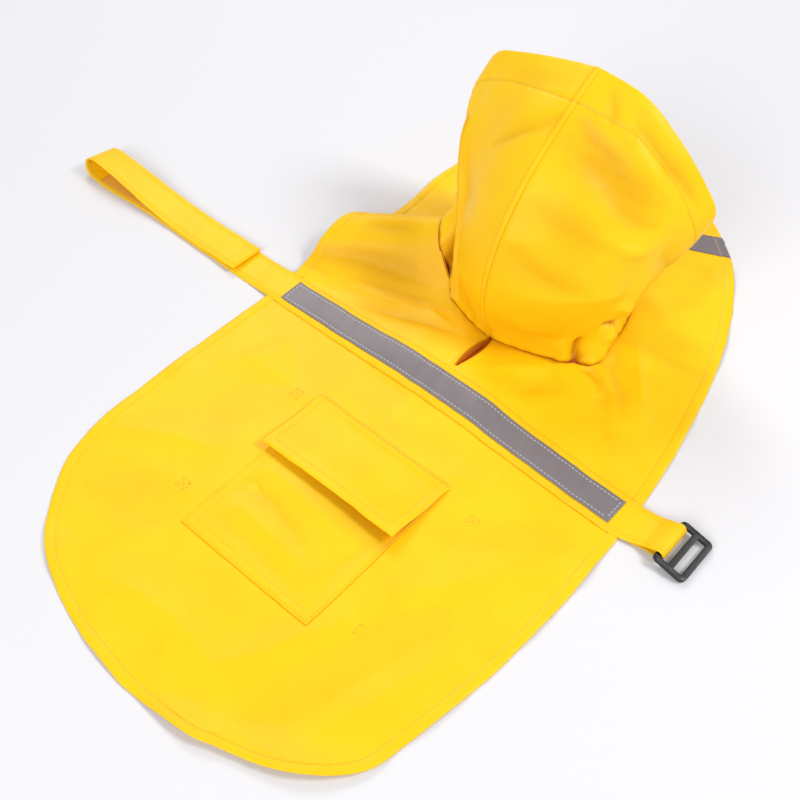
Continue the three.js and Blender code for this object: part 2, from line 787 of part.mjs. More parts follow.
export default coat;
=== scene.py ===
"""Dog raincoat, laid flat on a pale floor with its hood standing up.

Every soft piece is a thin sheet on the form of its solid: the cape with its turned hem and leash slit, the
two hood panels, the pocket and its flap, the belly strap with its open fold, and the tapes. Sizes are in
millimetres until a mesh is made. +X runs towards the slide buckle, +Y towards the head, +Z up.
"""

import logging
import math
from collections.abc import Callable
from dataclasses import dataclass, field
from enum import Enum

import bpy
import numpy as np
from mathutils import Matrix, Vector

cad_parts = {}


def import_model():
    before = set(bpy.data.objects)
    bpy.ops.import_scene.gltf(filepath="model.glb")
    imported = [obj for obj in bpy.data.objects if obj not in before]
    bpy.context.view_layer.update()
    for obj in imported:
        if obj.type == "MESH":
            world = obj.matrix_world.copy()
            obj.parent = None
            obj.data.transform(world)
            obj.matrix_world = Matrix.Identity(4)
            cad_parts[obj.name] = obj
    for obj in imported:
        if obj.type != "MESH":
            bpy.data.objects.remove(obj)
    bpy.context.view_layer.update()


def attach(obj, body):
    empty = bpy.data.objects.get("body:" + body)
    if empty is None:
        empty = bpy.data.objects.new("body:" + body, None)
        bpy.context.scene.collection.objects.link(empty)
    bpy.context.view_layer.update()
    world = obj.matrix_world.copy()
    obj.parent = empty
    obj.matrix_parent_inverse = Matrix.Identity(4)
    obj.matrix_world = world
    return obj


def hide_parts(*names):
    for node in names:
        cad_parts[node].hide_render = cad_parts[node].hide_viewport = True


LOG = logging.getLogger("dog_raincoat")
MM = 0.001
CLOTH = 1.5  # wall of the solids' cloth
DOUBLE = 2.0
GAP = 0.3

Array = np.ndarray
Table = tuple[tuple[float, ...], ...]


# Curves and fields


def between(places: Array, run: Array, line: Array) -> Array:
    """Points of a polyline, or of what is kept beside it, at distances along it.

    Args:
        places: the distances wanted.
        run: distance of each point of the line.
        line: the points, one row each.

    Returns:
        The points at those distances.
    """
    return np.stack([np.interp(places, run, line[:, k]) for k in range(line.shape[1])], 1)


def resample(line: Array, count: int) -> Array:
    """Points spaced evenly along a polyline.

    Args:
        line: points, one row each.
        count: how many points to return.

    Returns:
        The points, both ends included.
    """
    run = arc(line)
    return between(np.linspace(0, run[-1], count), run, line)


def arc(line: Array) -> Array:
    """Distance of each point along a polyline from its start."""
    steps = np.linalg.norm(np.diff(line, axis=0), axis=1)
    return np.concatenate([[0], np.cumsum(steps)])


def smooth(rows: Table | list[tuple[float, ...]], count: int) -> Array:
    """Even run of points on the smooth curve through a table's rows.

    Args:
        rows: the places that the curve passes through.
        count: how many points to return.

    Returns:
        The points of the curve.
    """
    knots = np.array(rows, float)
    padded = np.vstack([knots[:1], knots, knots[-1:]])
    t = np.linspace(0, 1, 20, endpoint=False)[:, None]
    pieces = []
    for i in range(len(knots) - 1):
        p0, p1, p2, p3 = padded[i : i + 4]
        v0, v1 = (p2 - p0) / 2, (p3 - p1) / 2
        pieces.append((2 * p1 - 2 * p2 + v0 + v1) * t**3 + (3 * p2 - 3 * p1 - 2 * v0 - v1) * t**2 + v0 * t + p1)
    return resample(np.vstack([*pieces, knots[-1:]]), count)


def mirrored(shares: tuple[float, ...]) -> Array:
    """Shares of a half width, from one edge of a band to the other."""
    half = np.array(shares)
    return np.concatenate([half, [0], -half[::-1]])


def bell(distance: Array) -> Array:
    """Smooth bell from 1 at the middle to 0 at a distance of 1."""
    q = np.minimum(np.abs(distance), 1)
    return (1 - q * q) ** 3


def ease(value: Array, low: float, high: float) -> Array:
    """Smooth step from 0 at low to 1 at high."""
    q = np.clip((value - low) / (high - low), 0, 1)
    return q * q * (3 - 2 * q)


def ripple(run: Array, pitch: float, seed: int) -> Array:
    """Uneven wave between -1 and 1, as stitching puckers cloth.

    Args:
        run: distances along the stitching.
        pitch: usual distance from one pucker to the next.
        seed: picks the wave's unevenness.

    Returns:
        The wave at each distance.
    """
    rng = np.random.default_rng(seed)
    total = np.zeros_like(run)
    for share in (0.62, 1.0, 1.37, 2.1):
        total += np.sin(run * 2 * math.pi * share / pitch + rng.uniform(0, 6.28)) * rng.uniform(0.6, 1)
    return total / 3


class Fade(Enum):
    """Where a crease dies away."""

    BOTH = "both ends"
    END = "its end only"


@dataclass(frozen=True)
class Crease:
    """A soft trough or ridge along a bent line.

    A positive height is a ridge and a negative one a trough. The line runs from start to end, pulled
    towards bend.
    """

    start: tuple[float, float]
    bend: tuple[float, float]
    end: tuple[float, float]
    width: float
    height: float
    fade: Fade = Fade.BOTH

    def at(self, x: Array, y: Array) -> Array:
        """Height of the crease at places of the cloth."""
        t = np.linspace(0, 1, 13)[:, None]
        a, b, c = (np.array(p, float) for p in (self.start, self.bend, self.end))
        line = (1 - t) ** 2 * a + 2 * t * (1 - t) * b + t**2 * c
        best = np.full(x.shape, 1e9)
        place = np.zeros(x.shape)
        for i in range(len(line) - 1):
            step = line[i + 1] - line[i]
            share = np.clip(((x - line[i][0]) * step[0] + (y - line[i][1]) * step[1]) / (step @ step), 0, 1)
            gap = np.hypot(x - line[i][0] - share * step[0], y - line[i][1] - share * step[1])
            nearer = gap < best
            best = np.where(nearer, gap, best)
            place = np.where(nearer, (i + share) / (len(line) - 1), place)
        strength = np.sin(math.pi * np.clip(place, 0, 1)) ** 0.6
        if self.fade is Fade.END:
            strength = np.where(place < 0.4, 1, ease(1 - place, 0, 0.6))
        q = np.minimum((np.hypot(best, 0.9) - 0.9) / self.width, 1)
        return self.height * strength * (1 - q) ** 2


def lay(*rows: tuple[float | Fade, ...]) -> tuple[Crease, ...]:
    """Creases from rows of plain values.

    Args:
        rows: x and y of the start, the bend and the end, then width, height and, if need be, the fade.

    Returns:
        The creases, in the same order.
    """
    return tuple(Crease(row[0:2], row[2:4], row[4:6], *row[6:]) for row in rows)


def creased(creases: tuple[Crease, ...], x: Array, y: Array) -> Array:
    """Sum of several creases at places of the cloth."""
    return sum((c.at(x, y) for c in creases), np.zeros(x.shape))


# Meshes


def mesh_object(name: str, verts: Array, faces: list[tuple[int, ...]]) -> bpy.types.Object:
    """A mesh object from points in millimetres, shaded smooth.

    Args:
        name: the piece's name.
        verts: its points.
        faces: its faces as indices.

    Returns:
        The object, at the origin.
    """
    mesh = bpy.data.meshes.new(name)
    mesh.from_pydata((np.asarray(verts) * MM).tolist(), [], faces)
    mesh.update()
    mesh.shade_smooth()
    made = bpy.data.objects.new(name, mesh)
    bpy.context.collection.objects.link(made)
    return made


def quads(rows: int, cols: int, start: int = 0) -> list[tuple[int, ...]]:
    """Faces of a grid of points kept row by row."""
    i, j = np.meshgrid(np.arange(rows - 1), np.arange(cols - 1), indexing="ij")
    a = (i * cols + j + start).ravel()
    return [tuple(q) for q in np.stack([a, a + 1, a + cols + 1, a + cols], 1).tolist()]


def add_uv(made: bpy.types.Object, plan: Array) -> None:
    """Gives a piece its own UV map, in metres of cloth."""
    mesh = made.data
    layer = mesh.uv_layers.new(name="Cloth")
    index = np.zeros(len(mesh.loops), int)
    mesh.loops.foreach_get("vertex_index", index)
    layer.data.foreach_set("uv", (plan[index] * MM).ravel().astype(np.float32))


def add_painted_shade(made: bpy.types.Object, depth: Array) -> None:
    """Keeps each point's painted shade, from 0 to 1, which darkens the cloth's colour in folds, seams and shadows."""
    kept = made.data.attributes.new("painted_shade", "FLOAT", "POINT")
    kept.data.foreach_set("value", np.clip(depth, 0, 1).astype(np.float32))


def only(made: bpy.types.Object) -> None:
    """Selects one object and makes it active."""
    bpy.ops.object.select_all(action="DESELECT")
    made.select_set(True)
    bpy.context.view_layer.objects.active = made


def apply_modifier(made: bpy.types.Object, kind: str, **settings: object) -> None:
    """Adds a modifier with its settings and applies it."""
    only(made)
    added = made.modifiers.new(kind.title(), kind)
    for key, value in settings.items():
        setattr(added, key, value)
    bpy.ops.object.modifier_apply(modifier=added.name)


def edit_whole(made: bpy.types.Object, operator: Callable[..., set[str]], **settings: object) -> None:
    """Runs one edit-mode operator over a whole mesh.

    Args:
        made: the piece.
        operator: the operator.
        settings: what the operator is told.
    """
    only(made)
    bpy.ops.object.mode_set(mode="EDIT")
    bpy.ops.mesh.select_all(action="SELECT")
    operator(**settings)
    bpy.ops.object.mode_set(mode="OBJECT")


def both_faces(plan: Array) -> Array:
    """Places on the cloth for a closed band's points, on its upper and its lower face."""
    return np.concatenate([plan, plan[:, ::-1]], 1).reshape(-1, 2)


def normals_of(grid: Array) -> Array:
    """Normals of a grid of points, pointing to the side that its rows turn to."""
    along = np.gradient(grid, axis=0)
    across = np.gradient(grid, axis=1)
    turned = np.cross(across, along)
    return turned / np.maximum(np.linalg.norm(turned, axis=2, keepdims=True), 1e-9)


def closed_band(name: str, middle: Array, normal: Array, half: Array) -> bpy.types.Object:
    """A closed flat band round a grid of middle points.

    Args:
        name: the piece's name.
        middle: points along the band by points across it.
        normal: its normals at those points.
        half: half of its thickness at those points.

    Returns:
        The object, with its ends closed.
    """
    count, across = middle.shape[:2]
    top = middle + normal * half[..., None]
    low = middle - normal * half[..., None]
    ring = np.concatenate([top, low[:, ::-1]], 1)
    size = 2 * across
    faces: list[tuple[int, ...]] = []
    for i in range(count - 1):
        for j in range(size):
            k = (j + 1) % size
            faces.append((i * size + j, i * size + k, (i + 1) * size + k, (i + 1) * size + j))
    for row in (0, count - 1):
        for j in range(across - 1):
            a, b = row * size + j, row * size + j + 1
            c, d = row * size + size - 2 - j, row * size + size - 1 - j
            faces.append((a, d, c, b) if row == 0 else (a, b, c, d))
    made = mesh_object(name, ring.reshape(-1, 3), faces)
    edit_whole(made, bpy.ops.mesh.normals_make_consistent, inside=False)
    return made


def finish_piece(made: bpy.types.Object, material: bpy.types.Material, slot: str, *nodes: str) -> None:
    """Gives a piece its material, lets it ride on the coat and hides what it stands for.

    Args:
        made: the piece.
        material: what it is made of.
        slot: not used.
        nodes: the solids that it replaces.
    """
    made.data.materials.clear()
    made.data.materials.append(material)
    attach(made, "root")
    if nodes:
        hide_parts(*nodes)
    LOG.info("%s: %d faces", made.name, len(made.data.polygons))


# Materials


def linear(code: str) -> tuple[float, float, float, float]:
    """Linear colour of an sRGB hex value."""
    parts = [int(code[i : i + 2], 16) / 255 for i in (1, 3, 5)]
    red, green, blue = (c / 12.92 if c <= 0.04045 else ((c + 0.055) / 1.055) ** 2.4 for c in parts)
    return red, green, blue, 1.0


def add_node(
    tree: bpy.types.NodeTree, kind: str, links: dict[str, bpy.types.NodeSocket] | None = None, **settings: object
) -> bpy.types.Node:
    """Adds a node with its settings and links.

    Args:
        tree: the material's nodes.
        kind: the node's type.
        links: socket name or number to the output that feeds it.
        settings: node properties, or socket values where the name is that of an input.

    Returns:
        The node.
    """
    node = tree.nodes.new(kind)
    for key, value in settings.items():
        if hasattr(node, key):
            setattr(node, key, value)
        else:
            node.inputs[key.replace("_", " ").title() if key.islower() else key].default_value = value
    for key, source in (links or {}).items():
        tree.links.new(source, node.inputs[int(key) if key.isdigit() else key])
    return node


def fresh_material(name: str) -> tuple[bpy.types.Material, bpy.types.NodeTree, bpy.types.Node]:
    """A new material with one Principled shader on its output."""
    made = bpy.data.materials.new(name)
    made.use_nodes = True
    tree = made.node_tree
    tree.nodes.clear()
    shader = tree.nodes.new("ShaderNodeBsdfPrincipled")
    add_node(tree, "ShaderNodeOutputMaterial", {"Surface": shader.outputs[0]})
    return made, tree, shader


@dataclass(frozen=True)
class CoatedPolyester:
    """Polyester taffeta with a polyurethane coat.

    The coat fills the weave, so the eye sees a smooth, half-matt skin with broad soft gleams and faint mottling
    where the cloth was handled. A deeper, redder yellow is painted shade, mixed in at folds, seams, slit and flap.
    """

    name: str = "coated_polyester_yellow"
    face: str = "#FDCC0E"
    handled: str = "#FCC608"
    # painted shade: the colour mixed in at the folds, the slit, the neck seam and under the flap
    folded: str = "#A84C00"
    roughness: float = 0.46
    refraction: float = 1.47
    specular: float = 0.25
    mottle: float = 22.0  # patches of about 45 mm
    sheen: float = 160.0  # patches of about 6 mm
    thread_mm: float = 0.9  # the real 0.25 mm threads are too fine to show, so the weave is drawn coarser

    def build(self) -> bpy.types.Material:
        """Makes the material."""
        made, tree, shader = fresh_material(self.name)
        place = add_node(tree, "ShaderNodeTexCoord").outputs["Object"]
        cloth = add_node(tree, "ShaderNodeUVMap", uv_map="Cloth").outputs["UV"]
        broad = add_node(tree, "ShaderNodeTexNoise", {"Vector": place}, Scale=self.mottle, Detail=3.0, Roughness=0.5)
        fine = add_node(tree, "ShaderNodeTexNoise", {"Vector": place}, Scale=self.sheen, Detail=2.0, Roughness=0.6)
        # painted shade: the per-point shade attribute mixes the folded colour into the base colour
        depth = add_node(tree, "ShaderNodeAttribute", attribute_name="painted_shade").outputs["Fac"]
        span = add_node(tree, "ShaderNodeMapRange", {"Value": broad.outputs["Fac"]})
        span.inputs["From Min"].default_value = 0.38
        span.inputs["From Max"].default_value = 0.68
        worn = add_node(tree, "ShaderNodeMix", {"Factor": span.outputs[0]}, data_type="RGBA")
        worn.inputs[6].default_value = linear(self.face)
        worn.inputs[7].default_value = linear(self.handled)
        deep = add_node(tree, "ShaderNodeMix", {"Factor": depth, "6": worn.outputs[2]}, data_type="RGBA")
        deep.inputs[7].default_value = linear(self.folded)
        tree.links.new(deep.outputs[2], shader.inputs["Base Color"])
        rough = add_node(tree, "ShaderNodeMapRange", {"Value": fine.outputs["Fac"]})
        rough.inputs["To Min"].default_value = self.roughness - 0.05
        rough.inputs["To Max"].default_value = self.roughness + 0.06
        tree.links.new(rough.outputs[0], shader.inputs["Roughness"])
        waves = [
            add_node(
                tree,
                "ShaderNodeTexWave",
                {"Vector": cloth},
                bands_direction=direction,
                Scale=1 / (self.thread_mm * MM) / 20 * math.pi,
            )
            for direction in ("X", "Y")
        ]
        weave = add_node(
            tree, "ShaderNodeMath", {"0": waves[0].outputs["Fac"], "1": waves[1].outputs["Fac"]}, operation="MULTIPLY"
        )
        bump = add_node(tree, "ShaderNodeBump", {"Height": weave.outputs[0]}, Strength=0.05, Distance=0.0001)
        rumple = add_node(
            tree,
            "ShaderNodeBump",
            {"Height": broad.outputs["Fac"], "Normal": bump.outputs[0]},
            Strength=0.35,
            Distance=0.003,
        )
        tree.links.new(rumple.outputs[0], shader.inputs["Normal"])
        shader.inputs["IOR"].default_value = self.refraction
        shader.inputs["Specular IOR Level"].default_value = self.specular
        return made


@dataclass(frozen=True)
class SpunThread:
    """Spun polyester sewing thread: round, matt and a little fuzzy, so each stitch reads as a small bead."""

    name: str
    colour: str
    roughness: float = 0.7

    def build(self) -> bpy.types.Material:
        """Makes the material."""
        made, tree, shader = fresh_material(self.name)
        place = add_node(tree, "ShaderNodeTexCoord").outputs["Object"]
        twist = add_node(tree, "ShaderNodeTexNoise", {"Vector": place}, Scale=1500.0, Detail=1.0)
        tint = add_node(tree, "ShaderNodeMix", {"Factor": twist.outputs["Fac"]}, data_type="RGBA")
        tint.inputs[6].default_value = linear(self.colour)
        tint.inputs[7].default_value = tuple(0.8 * c for c in linear(self.colour)[:3]) + (1.0,)
        tree.links.new(tint.outputs[2], shader.inputs["Base Color"])
        shader.inputs["Roughness"].default_value = self.roughness
        return made


@dataclass(frozen=True)
class GlassBeadTape:
    """Reflective tape: glass beads bonded to a grey woven backing.

    By plain daylight it is a flat, satin grey with a faint grain of beads, and scuffs show a little lighter.
    """

    name: str = "glass_bead_reflective_tape"
    face: str = "#777074"
    scuff: str = "#827B7F"
    bead_mm: float = 0.8  # real beads are 0.06 mm, so their grain is drawn coarser

    def build(self) -> bpy.types.Material:
        """Makes the material."""
        made, tree, shader = fresh_material(self.name)
        place = add_node(tree, "ShaderNodeTexCoord").outputs["Object"]
        grain = add_node(tree, "ShaderNodeTexNoise", {"Vector": place}, Scale=1 / (self.bead_mm * MM), Detail=1.0)
        cloud = add_node(tree, "ShaderNodeTexNoise", {"Vector": place}, Scale=60.0, Detail=3.0)
        tint = add_node(tree, "ShaderNodeMix", {"Factor": cloud.outputs["Fac"]}, data_type="RGBA")
        tint.inputs[6].default_value = linear(self.face)
        tint.inputs[7].default_value = linear(self.scuff)
        tree.links.new(tint.outputs[2], shader.inputs["Base Color"])
        bump = add_node(tree, "ShaderNodeBump", {"Height": grain.outputs["Fac"]}, Strength=0.12, Distance=0.0001)
        tree.links.new(bump.outputs[0], shader.inputs["Normal"])
        shader.inputs["Roughness"].default_value = 0.5
        shader.inputs["Metallic"].default_value = 0.15
        return made


@dataclass(frozen=True)
class LoopPile:
    """Soft half of a hook-and-loop fastener: a felt of fine loops, matt and a little paler at the tips."""

    name: str = "loop_pile_ochre"
    root: str = "#E2A11C"
    tip: str = "#F7C94E"

    def build(self) -> bpy.types.Material:
        """Makes the material."""
        made, tree, shader = fresh_material(self.name)
        place = add_node(tree, "ShaderNodeTexCoord").outputs["Object"]
        fuzz = add_node(tree, "ShaderNodeTexNoise", {"Vector": place}, Scale=900.0, Detail=3.0, Roughness=0.7)
        tint = add_node(tree, "ShaderNodeMix", {"Factor": fuzz.outputs["Fac"]}, data_type="RGBA")
        tint.inputs[6].default_value = linear(self.root)
        tint.inputs[7].default_value = linear(self.tip)
        tree.links.new(tint.outputs[2], shader.inputs["Base Color"])
        bump = add_node(tree, "ShaderNodeBump", {"Height": fuzz.outputs["Fac"]}, Strength=0.6, Distance=0.0006)
        tree.links.new(bump.outputs[0], shader.inputs["Normal"])
        shader.inputs["Roughness"].default_value = 0.95
        return made


@dataclass(frozen=True)
class MouldedAcetal:
    """Black acetal, injection moulded in a spark-eroded mould: satin, with soft bright lines on its edges."""

    name: str = "moulded_acetal_black"
    face: str = "#0F1013"
    cloudy: str = "#17181C"
    roughness: float = 0.38
    refraction: float = 1.48

    def build(self) -> bpy.types.Material:
        """Makes the material."""
        made, tree, shader = fresh_material(self.name)
        place = add_node(tree, "ShaderNodeTexCoord").outputs["Object"]
        spark = add_node(tree, "ShaderNodeTexNoise", {"Vector": place}, Scale=1800.0, Detail=2.0)
        cloud = add_node(tree, "ShaderNodeTexNoise", {"Vector": place}, Scale=90.0, Detail=2.0)
        tint = add_node(tree, "ShaderNodeMix", {"Factor": cloud.outputs["Fac"]}, data_type="RGBA")
        tint.inputs[6].default_value = linear(self.face)
        tint.inputs[7].default_value = linear(self.cloudy)
        tree.links.new(tint.outputs[2], shader.inputs["Base Color"])
        bump = add_node(tree, "ShaderNodeBump", {"Height": spark.outputs["Fac"]}, Strength=0.25, Distance=0.0001)
        tree.links.new(bump.outputs[0], shader.inputs["Normal"])
        shader.inputs["Roughness"].default_value = self.roughness
        shader.inputs["IOR"].default_value = self.refraction
        return made


@dataclass(frozen=True)
class StudioPaper:
    """Seamless background paper, matt and nearly white."""

    name: str = "seamless_paper"
    face: str = "#E2E2E5"

    def build(self) -> bpy.types.Material:
        """Makes the material."""
        made, tree, shader = fresh_material(self.name)
        place = add_node(tree, "ShaderNodeTexCoord").outputs["Object"]
        tooth = add_node(tree, "ShaderNodeTexNoise", {"Vector": place}, Scale=400.0, Detail=2.0)
        bump = add_node(tree, "ShaderNodeBump", {"Height": tooth.outputs["Fac"]}, Strength=0.03, Distance=0.0002)
        tree.links.new(bump.outputs[0], shader.inputs["Normal"])
        shader.inputs["Base Color"].default_value = linear(self.face)
        shader.inputs["Roughness"].default_value = 0.9
        return made


@dataclass
class Wardrobe:
    """The coat's materials, made once."""

    cloth: bpy.types.Material = field(init=False)
    thread: bpy.types.Material = field(init=False)
    tack_thread: bpy.types.Material = field(init=False)
    pale_thread: bpy.types.Material = field(init=False)
    tape: bpy.types.Material = field(init=False)
    pile: bpy.types.Material = field(init=False)
    plastic: bpy.types.Material = field(init=False)

    def __post_init__(self) -> None:
        """Makes each material."""
        self.cloth = CoatedPolyester().build()
        self.thread = SpunThread("spun_polyester_thread_yellow", "#EEBB3A").build()
        self.tack_thread = SpunThread("spun_polyester_thread_tan", "#CF9A3C").build()
        self.pale_thread = SpunThread("spun_polyester_thread_grey", "#D3DAE2").build()
        self.tape = GlassBeadTape().build()
        self.pile = LoopPile().build()
        self.plastic = MouldedAcetal().build()


# Sewing


@dataclass
class Sewing:
    """Stitches along lines on the cloth, each one a copy of a single modelled stitch."""

    pitch: float = 3.4
    length: float = 2.5
    radius: float = 0.32
    look: float = 0.8  # how far before and behind a stitch the line's direction is read
    template: tuple[Array, list[tuple[int, ...]]] | None = None

    def model_stitch(self) -> tuple[Array, list[tuple[int, ...]]]:
        """Models one stitch: a short six-sided bar of thread whose ends dip into the cloth.

        Returns:
            Its points, about the origin along X, and its faces.
        """
        if self.template is None:
            bpy.ops.object.select_all(action="DESELECT")
            bpy.ops.mesh.primitive_cylinder_add(vertices=6, radius=1, depth=2, rotation=(0, math.pi / 2, 0))
            bar = bpy.context.object
            bpy.ops.object.transform_apply(location=False, rotation=True, scale=True)
            bpy.ops.object.mode_set(mode="EDIT")
            bpy.ops.mesh.select_all(action="SELECT")
            bpy.ops.mesh.bisect(plane_co=(0, 0, 0), plane_no=(1, 0, 0))
            bpy.ops.object.mode_set(mode="OBJECT")
            points = np.array([v.co[:] for v in bar.data.vertices])
            faces = [tuple(p.vertices) for p in bar.data.polygons]
            bpy.data.objects.remove(bar, do_unlink=True)
            ends = np.abs(points[:, 0]) > 0.5
            points[ends, 1:] *= 0.55
            points[ends, 2] -= 0.75
            self.template = points, faces
        return self.template

    def along(self, line: Array, normal: Array) -> tuple[Array, list[tuple[int, ...]]]:
        """Stitches along one line.

        Args:
            line: points of the line on the cloth.
            normal: the cloth's normals there.

        Returns:
            Points and faces of all its stitches.
        """
        points, faces = self.model_stitch()
        run = arc(line)
        places = np.arange(self.length / 2, run[-1] - self.length / 2, self.pitch)
        if not len(places):
            return np.zeros((0, 3)), []
        middle, up = between(places, run, line), between(places, run, normal)
        ahead = between(places + self.look, run, line) - between(places - self.look, run, line)
        ahead /= np.linalg.norm(ahead, axis=1, keepdims=True)
        up -= ahead * np.sum(up * ahead, 1, keepdims=True)
        up /= np.linalg.norm(up, axis=1, keepdims=True)
        side = np.cross(up, ahead)
        local = points * np.array([self.length / 2, self.radius, self.radius])
        placed = (
            (middle + up * self.radius * 0.25)[:, None]
            + ahead[:, None] * local[None, :, :1]
            + side[:, None] * local[None, :, 1:2]
            + up[:, None] * local[None, :, 2:]
        )
        size = len(points)
        listed = [tuple(v + k * size for v in face) for k in range(len(places)) for face in faces]
        return placed.reshape(-1, 3), listed

    def sew(
        self, name: str, lines: list[tuple[Array, Array]], material: bpy.types.Material, slot: str
    ) -> bpy.types.Object:
        """Makes one piece of all the stitches along several lines.

        Args:
            name: the piece's name.
            lines: line and normals for each.
            material: the thread.
            slot: the record's material slot.

        Returns:
            The piece.
        """
        verts: list[Array] = []
        faces: list[tuple[int, ...]] = []
        base = 0
        for line, normal in lines:
            points, listed = self.along(line, normal)
            verts.append(points)
            faces += [tuple(v + base for v in face) for face in listed]
            base += len(points)
        made = mesh_object(name, np.vstack(verts), faces)
        finish_piece(made, material, slot)
        return made


# The cape


@dataclass
class CapeForm:
    """Form of the laid cape, shared by the pieces that lie on it."""

    # ridges of the solids: from x, y to x, y, height at each, reach back and front
    ridges: Table = (
        (-215, 300, -70, 372, 24, 56, 74, 54), (-110, 256, 110, 256, 2, 2, 65, 75),
        (-40, 258, 40, 258, 5, 5, 65, 75), (92, 342, 188, 300, 4, 1, 26, 20), (92, 372, 165, 420, 4, 1, 26, 26),
        (60, -130, 200, -60, 4, 5, 60, 45),
    )
    ridge_end: float = 60.0
    lap_from: float = 66.0
    lap_to: float = 44.0
    creases: tuple[Crease, ...] = lay(
        # left shoulder: folds that fan from the hem at the strap's end towards the neck
        (-192, 270, -150, 298, -92, 318, 17, -5.5), (-192, 284, -146, 308, -104, 326, 10, 2.6),
        (-140, 296, -112, 306, -74, 318, 13, -2.6), (-140, 280, -96, 298, -44, 314, 11, -2.4),
        (-150, 268, -96, 286, -52, 300, 8, 1.2), (-190, 262, -176, 268, -158, 270, 6, -1.8),
        (-120, 262, -70, 278, -20, 296, 12, -2.2), (-160, 318, -138, 330, -106, 340, 14, -2.4),
        (-72, 306, -56, 296, -30, 296, 9, 1.4), (-178, 420, -150, 430, -110, 410, 24, -3.0),
        (-170, 470, -140, 455, -96, 428, 20, 2.4), (-60, 580, -50, 520, -70, 470, 22, -2.6),
        # right shoulder: a dart-like crease that bends from the hood's foot, with a ridge edge beyond it
        (86, 336, 104, 334, 110, 318, 6, -4.4, Fade.END), (104, 330, 120, 326, 116, 300, 8, -3.0),
        (112, 322, 122, 300, 142, 286, 13, -2.6), (98, 392, 128, 356, 160, 312, 12, 3.2),
        (88, 372, 112, 350, 140, 308, 15, -3.2), (104, 396, 140, 392, 172, 400, 16, -2.0),
        (94, 430, 120, 442, 156, 440, 14, 1.8), (80, 316, 64, 298, 58, 270, 22, -2.6),
        (60, 318, 36, 300, 22, 276, 14, 2.2), (120, 300, 150, 290, 186, 262, 26, 2.2),
        (96, 440, 110, 480, 96, 520, 18, -2.2),
        # back: broad shallow waves
        (-182, 206, -90, 192, -10, 206, 34, -4.4), (-150, 160, -90, 150, -30, 166, 30, 2.0),
        (-122, 84, -96, 130, -92, 182, 34, -2.6), (-160, 130, -130, 160, -128, 200, 30, 2.0),
        (-174, 20, -130, 60, -84, 66, 30, 2.2), (-150, -30, -110, 6, -66, -10, 34, -2.4),
        (-80, -80, -20, -46, 60, -70, 36, 2.4), (136, -70, 152, -10, 172, 60, 26, 2.0),
        (104, 60, 136, 96, 170, 160, 34, 2.0), (100, 120, 130, 160, 184, 186, 28, -2.2),
        (60, 170, 100, 188, 150, 200, 24, 1.8), (-20, 182, 20, 176, 60, 190, 18, -1.4),
        (96, -84, 114, -5, 146, 86, 30, -3.6), (40, -84, 76, -20, 100, 40, 26, 2.2),
    )

    def rise(self, x: Array, y: Array, lapped: bool = False) -> Array:
        """Underside of the solids' cape.

        Args:
            x: places across the coat.
            y: places along the spine.
            lapped: whether it is the right side, which climbs onto the left one in front.

        Returns:
            Heights above the table.
        """
        total = np.zeros(np.broadcast(x, y).shape)
        for x0, y0, x1, y1, z0, z1, back, front in self.ridges:
            length = math.hypot(x1 - x0, y1 - y0)
            ux, uy = (x1 - x0) / length, (y1 - y0) / length
            run = (x - x0) * ux + (y - y0) * uy
            across = (y - y0) * ux - (x - x0) * uy
            t = np.clip(run / length, 0, 1)
            reach = np.where(across > 0, front, back)
            total += (z0 + (z1 - z0) * t) * bell(np.hypot(across / reach, (run - t * length) / self.ridge_end))
        if lapped:
            climb = ease(self.lap_from - x, 0, self.lap_from - self.lap_to) * ease(y, 395, 425)
            total += (CLOTH + GAP) * climb
        return total

    def crease(self, x: Array, y: Array) -> Array:
        """Height that the creases add."""
        return creased(self.creases, x, y)

    def top(self, x: Array, y: Array, lapped: bool = False) -> Array:
        """Top of the cape's cloth, creases included, kept clear of the table."""
        height = self.rise(x, y, lapped)
        extra = self.crease(x, y)
        return height + CLOTH + np.where(extra < 0, np.maximum(extra, -0.8 - 0.9 * height), extra)


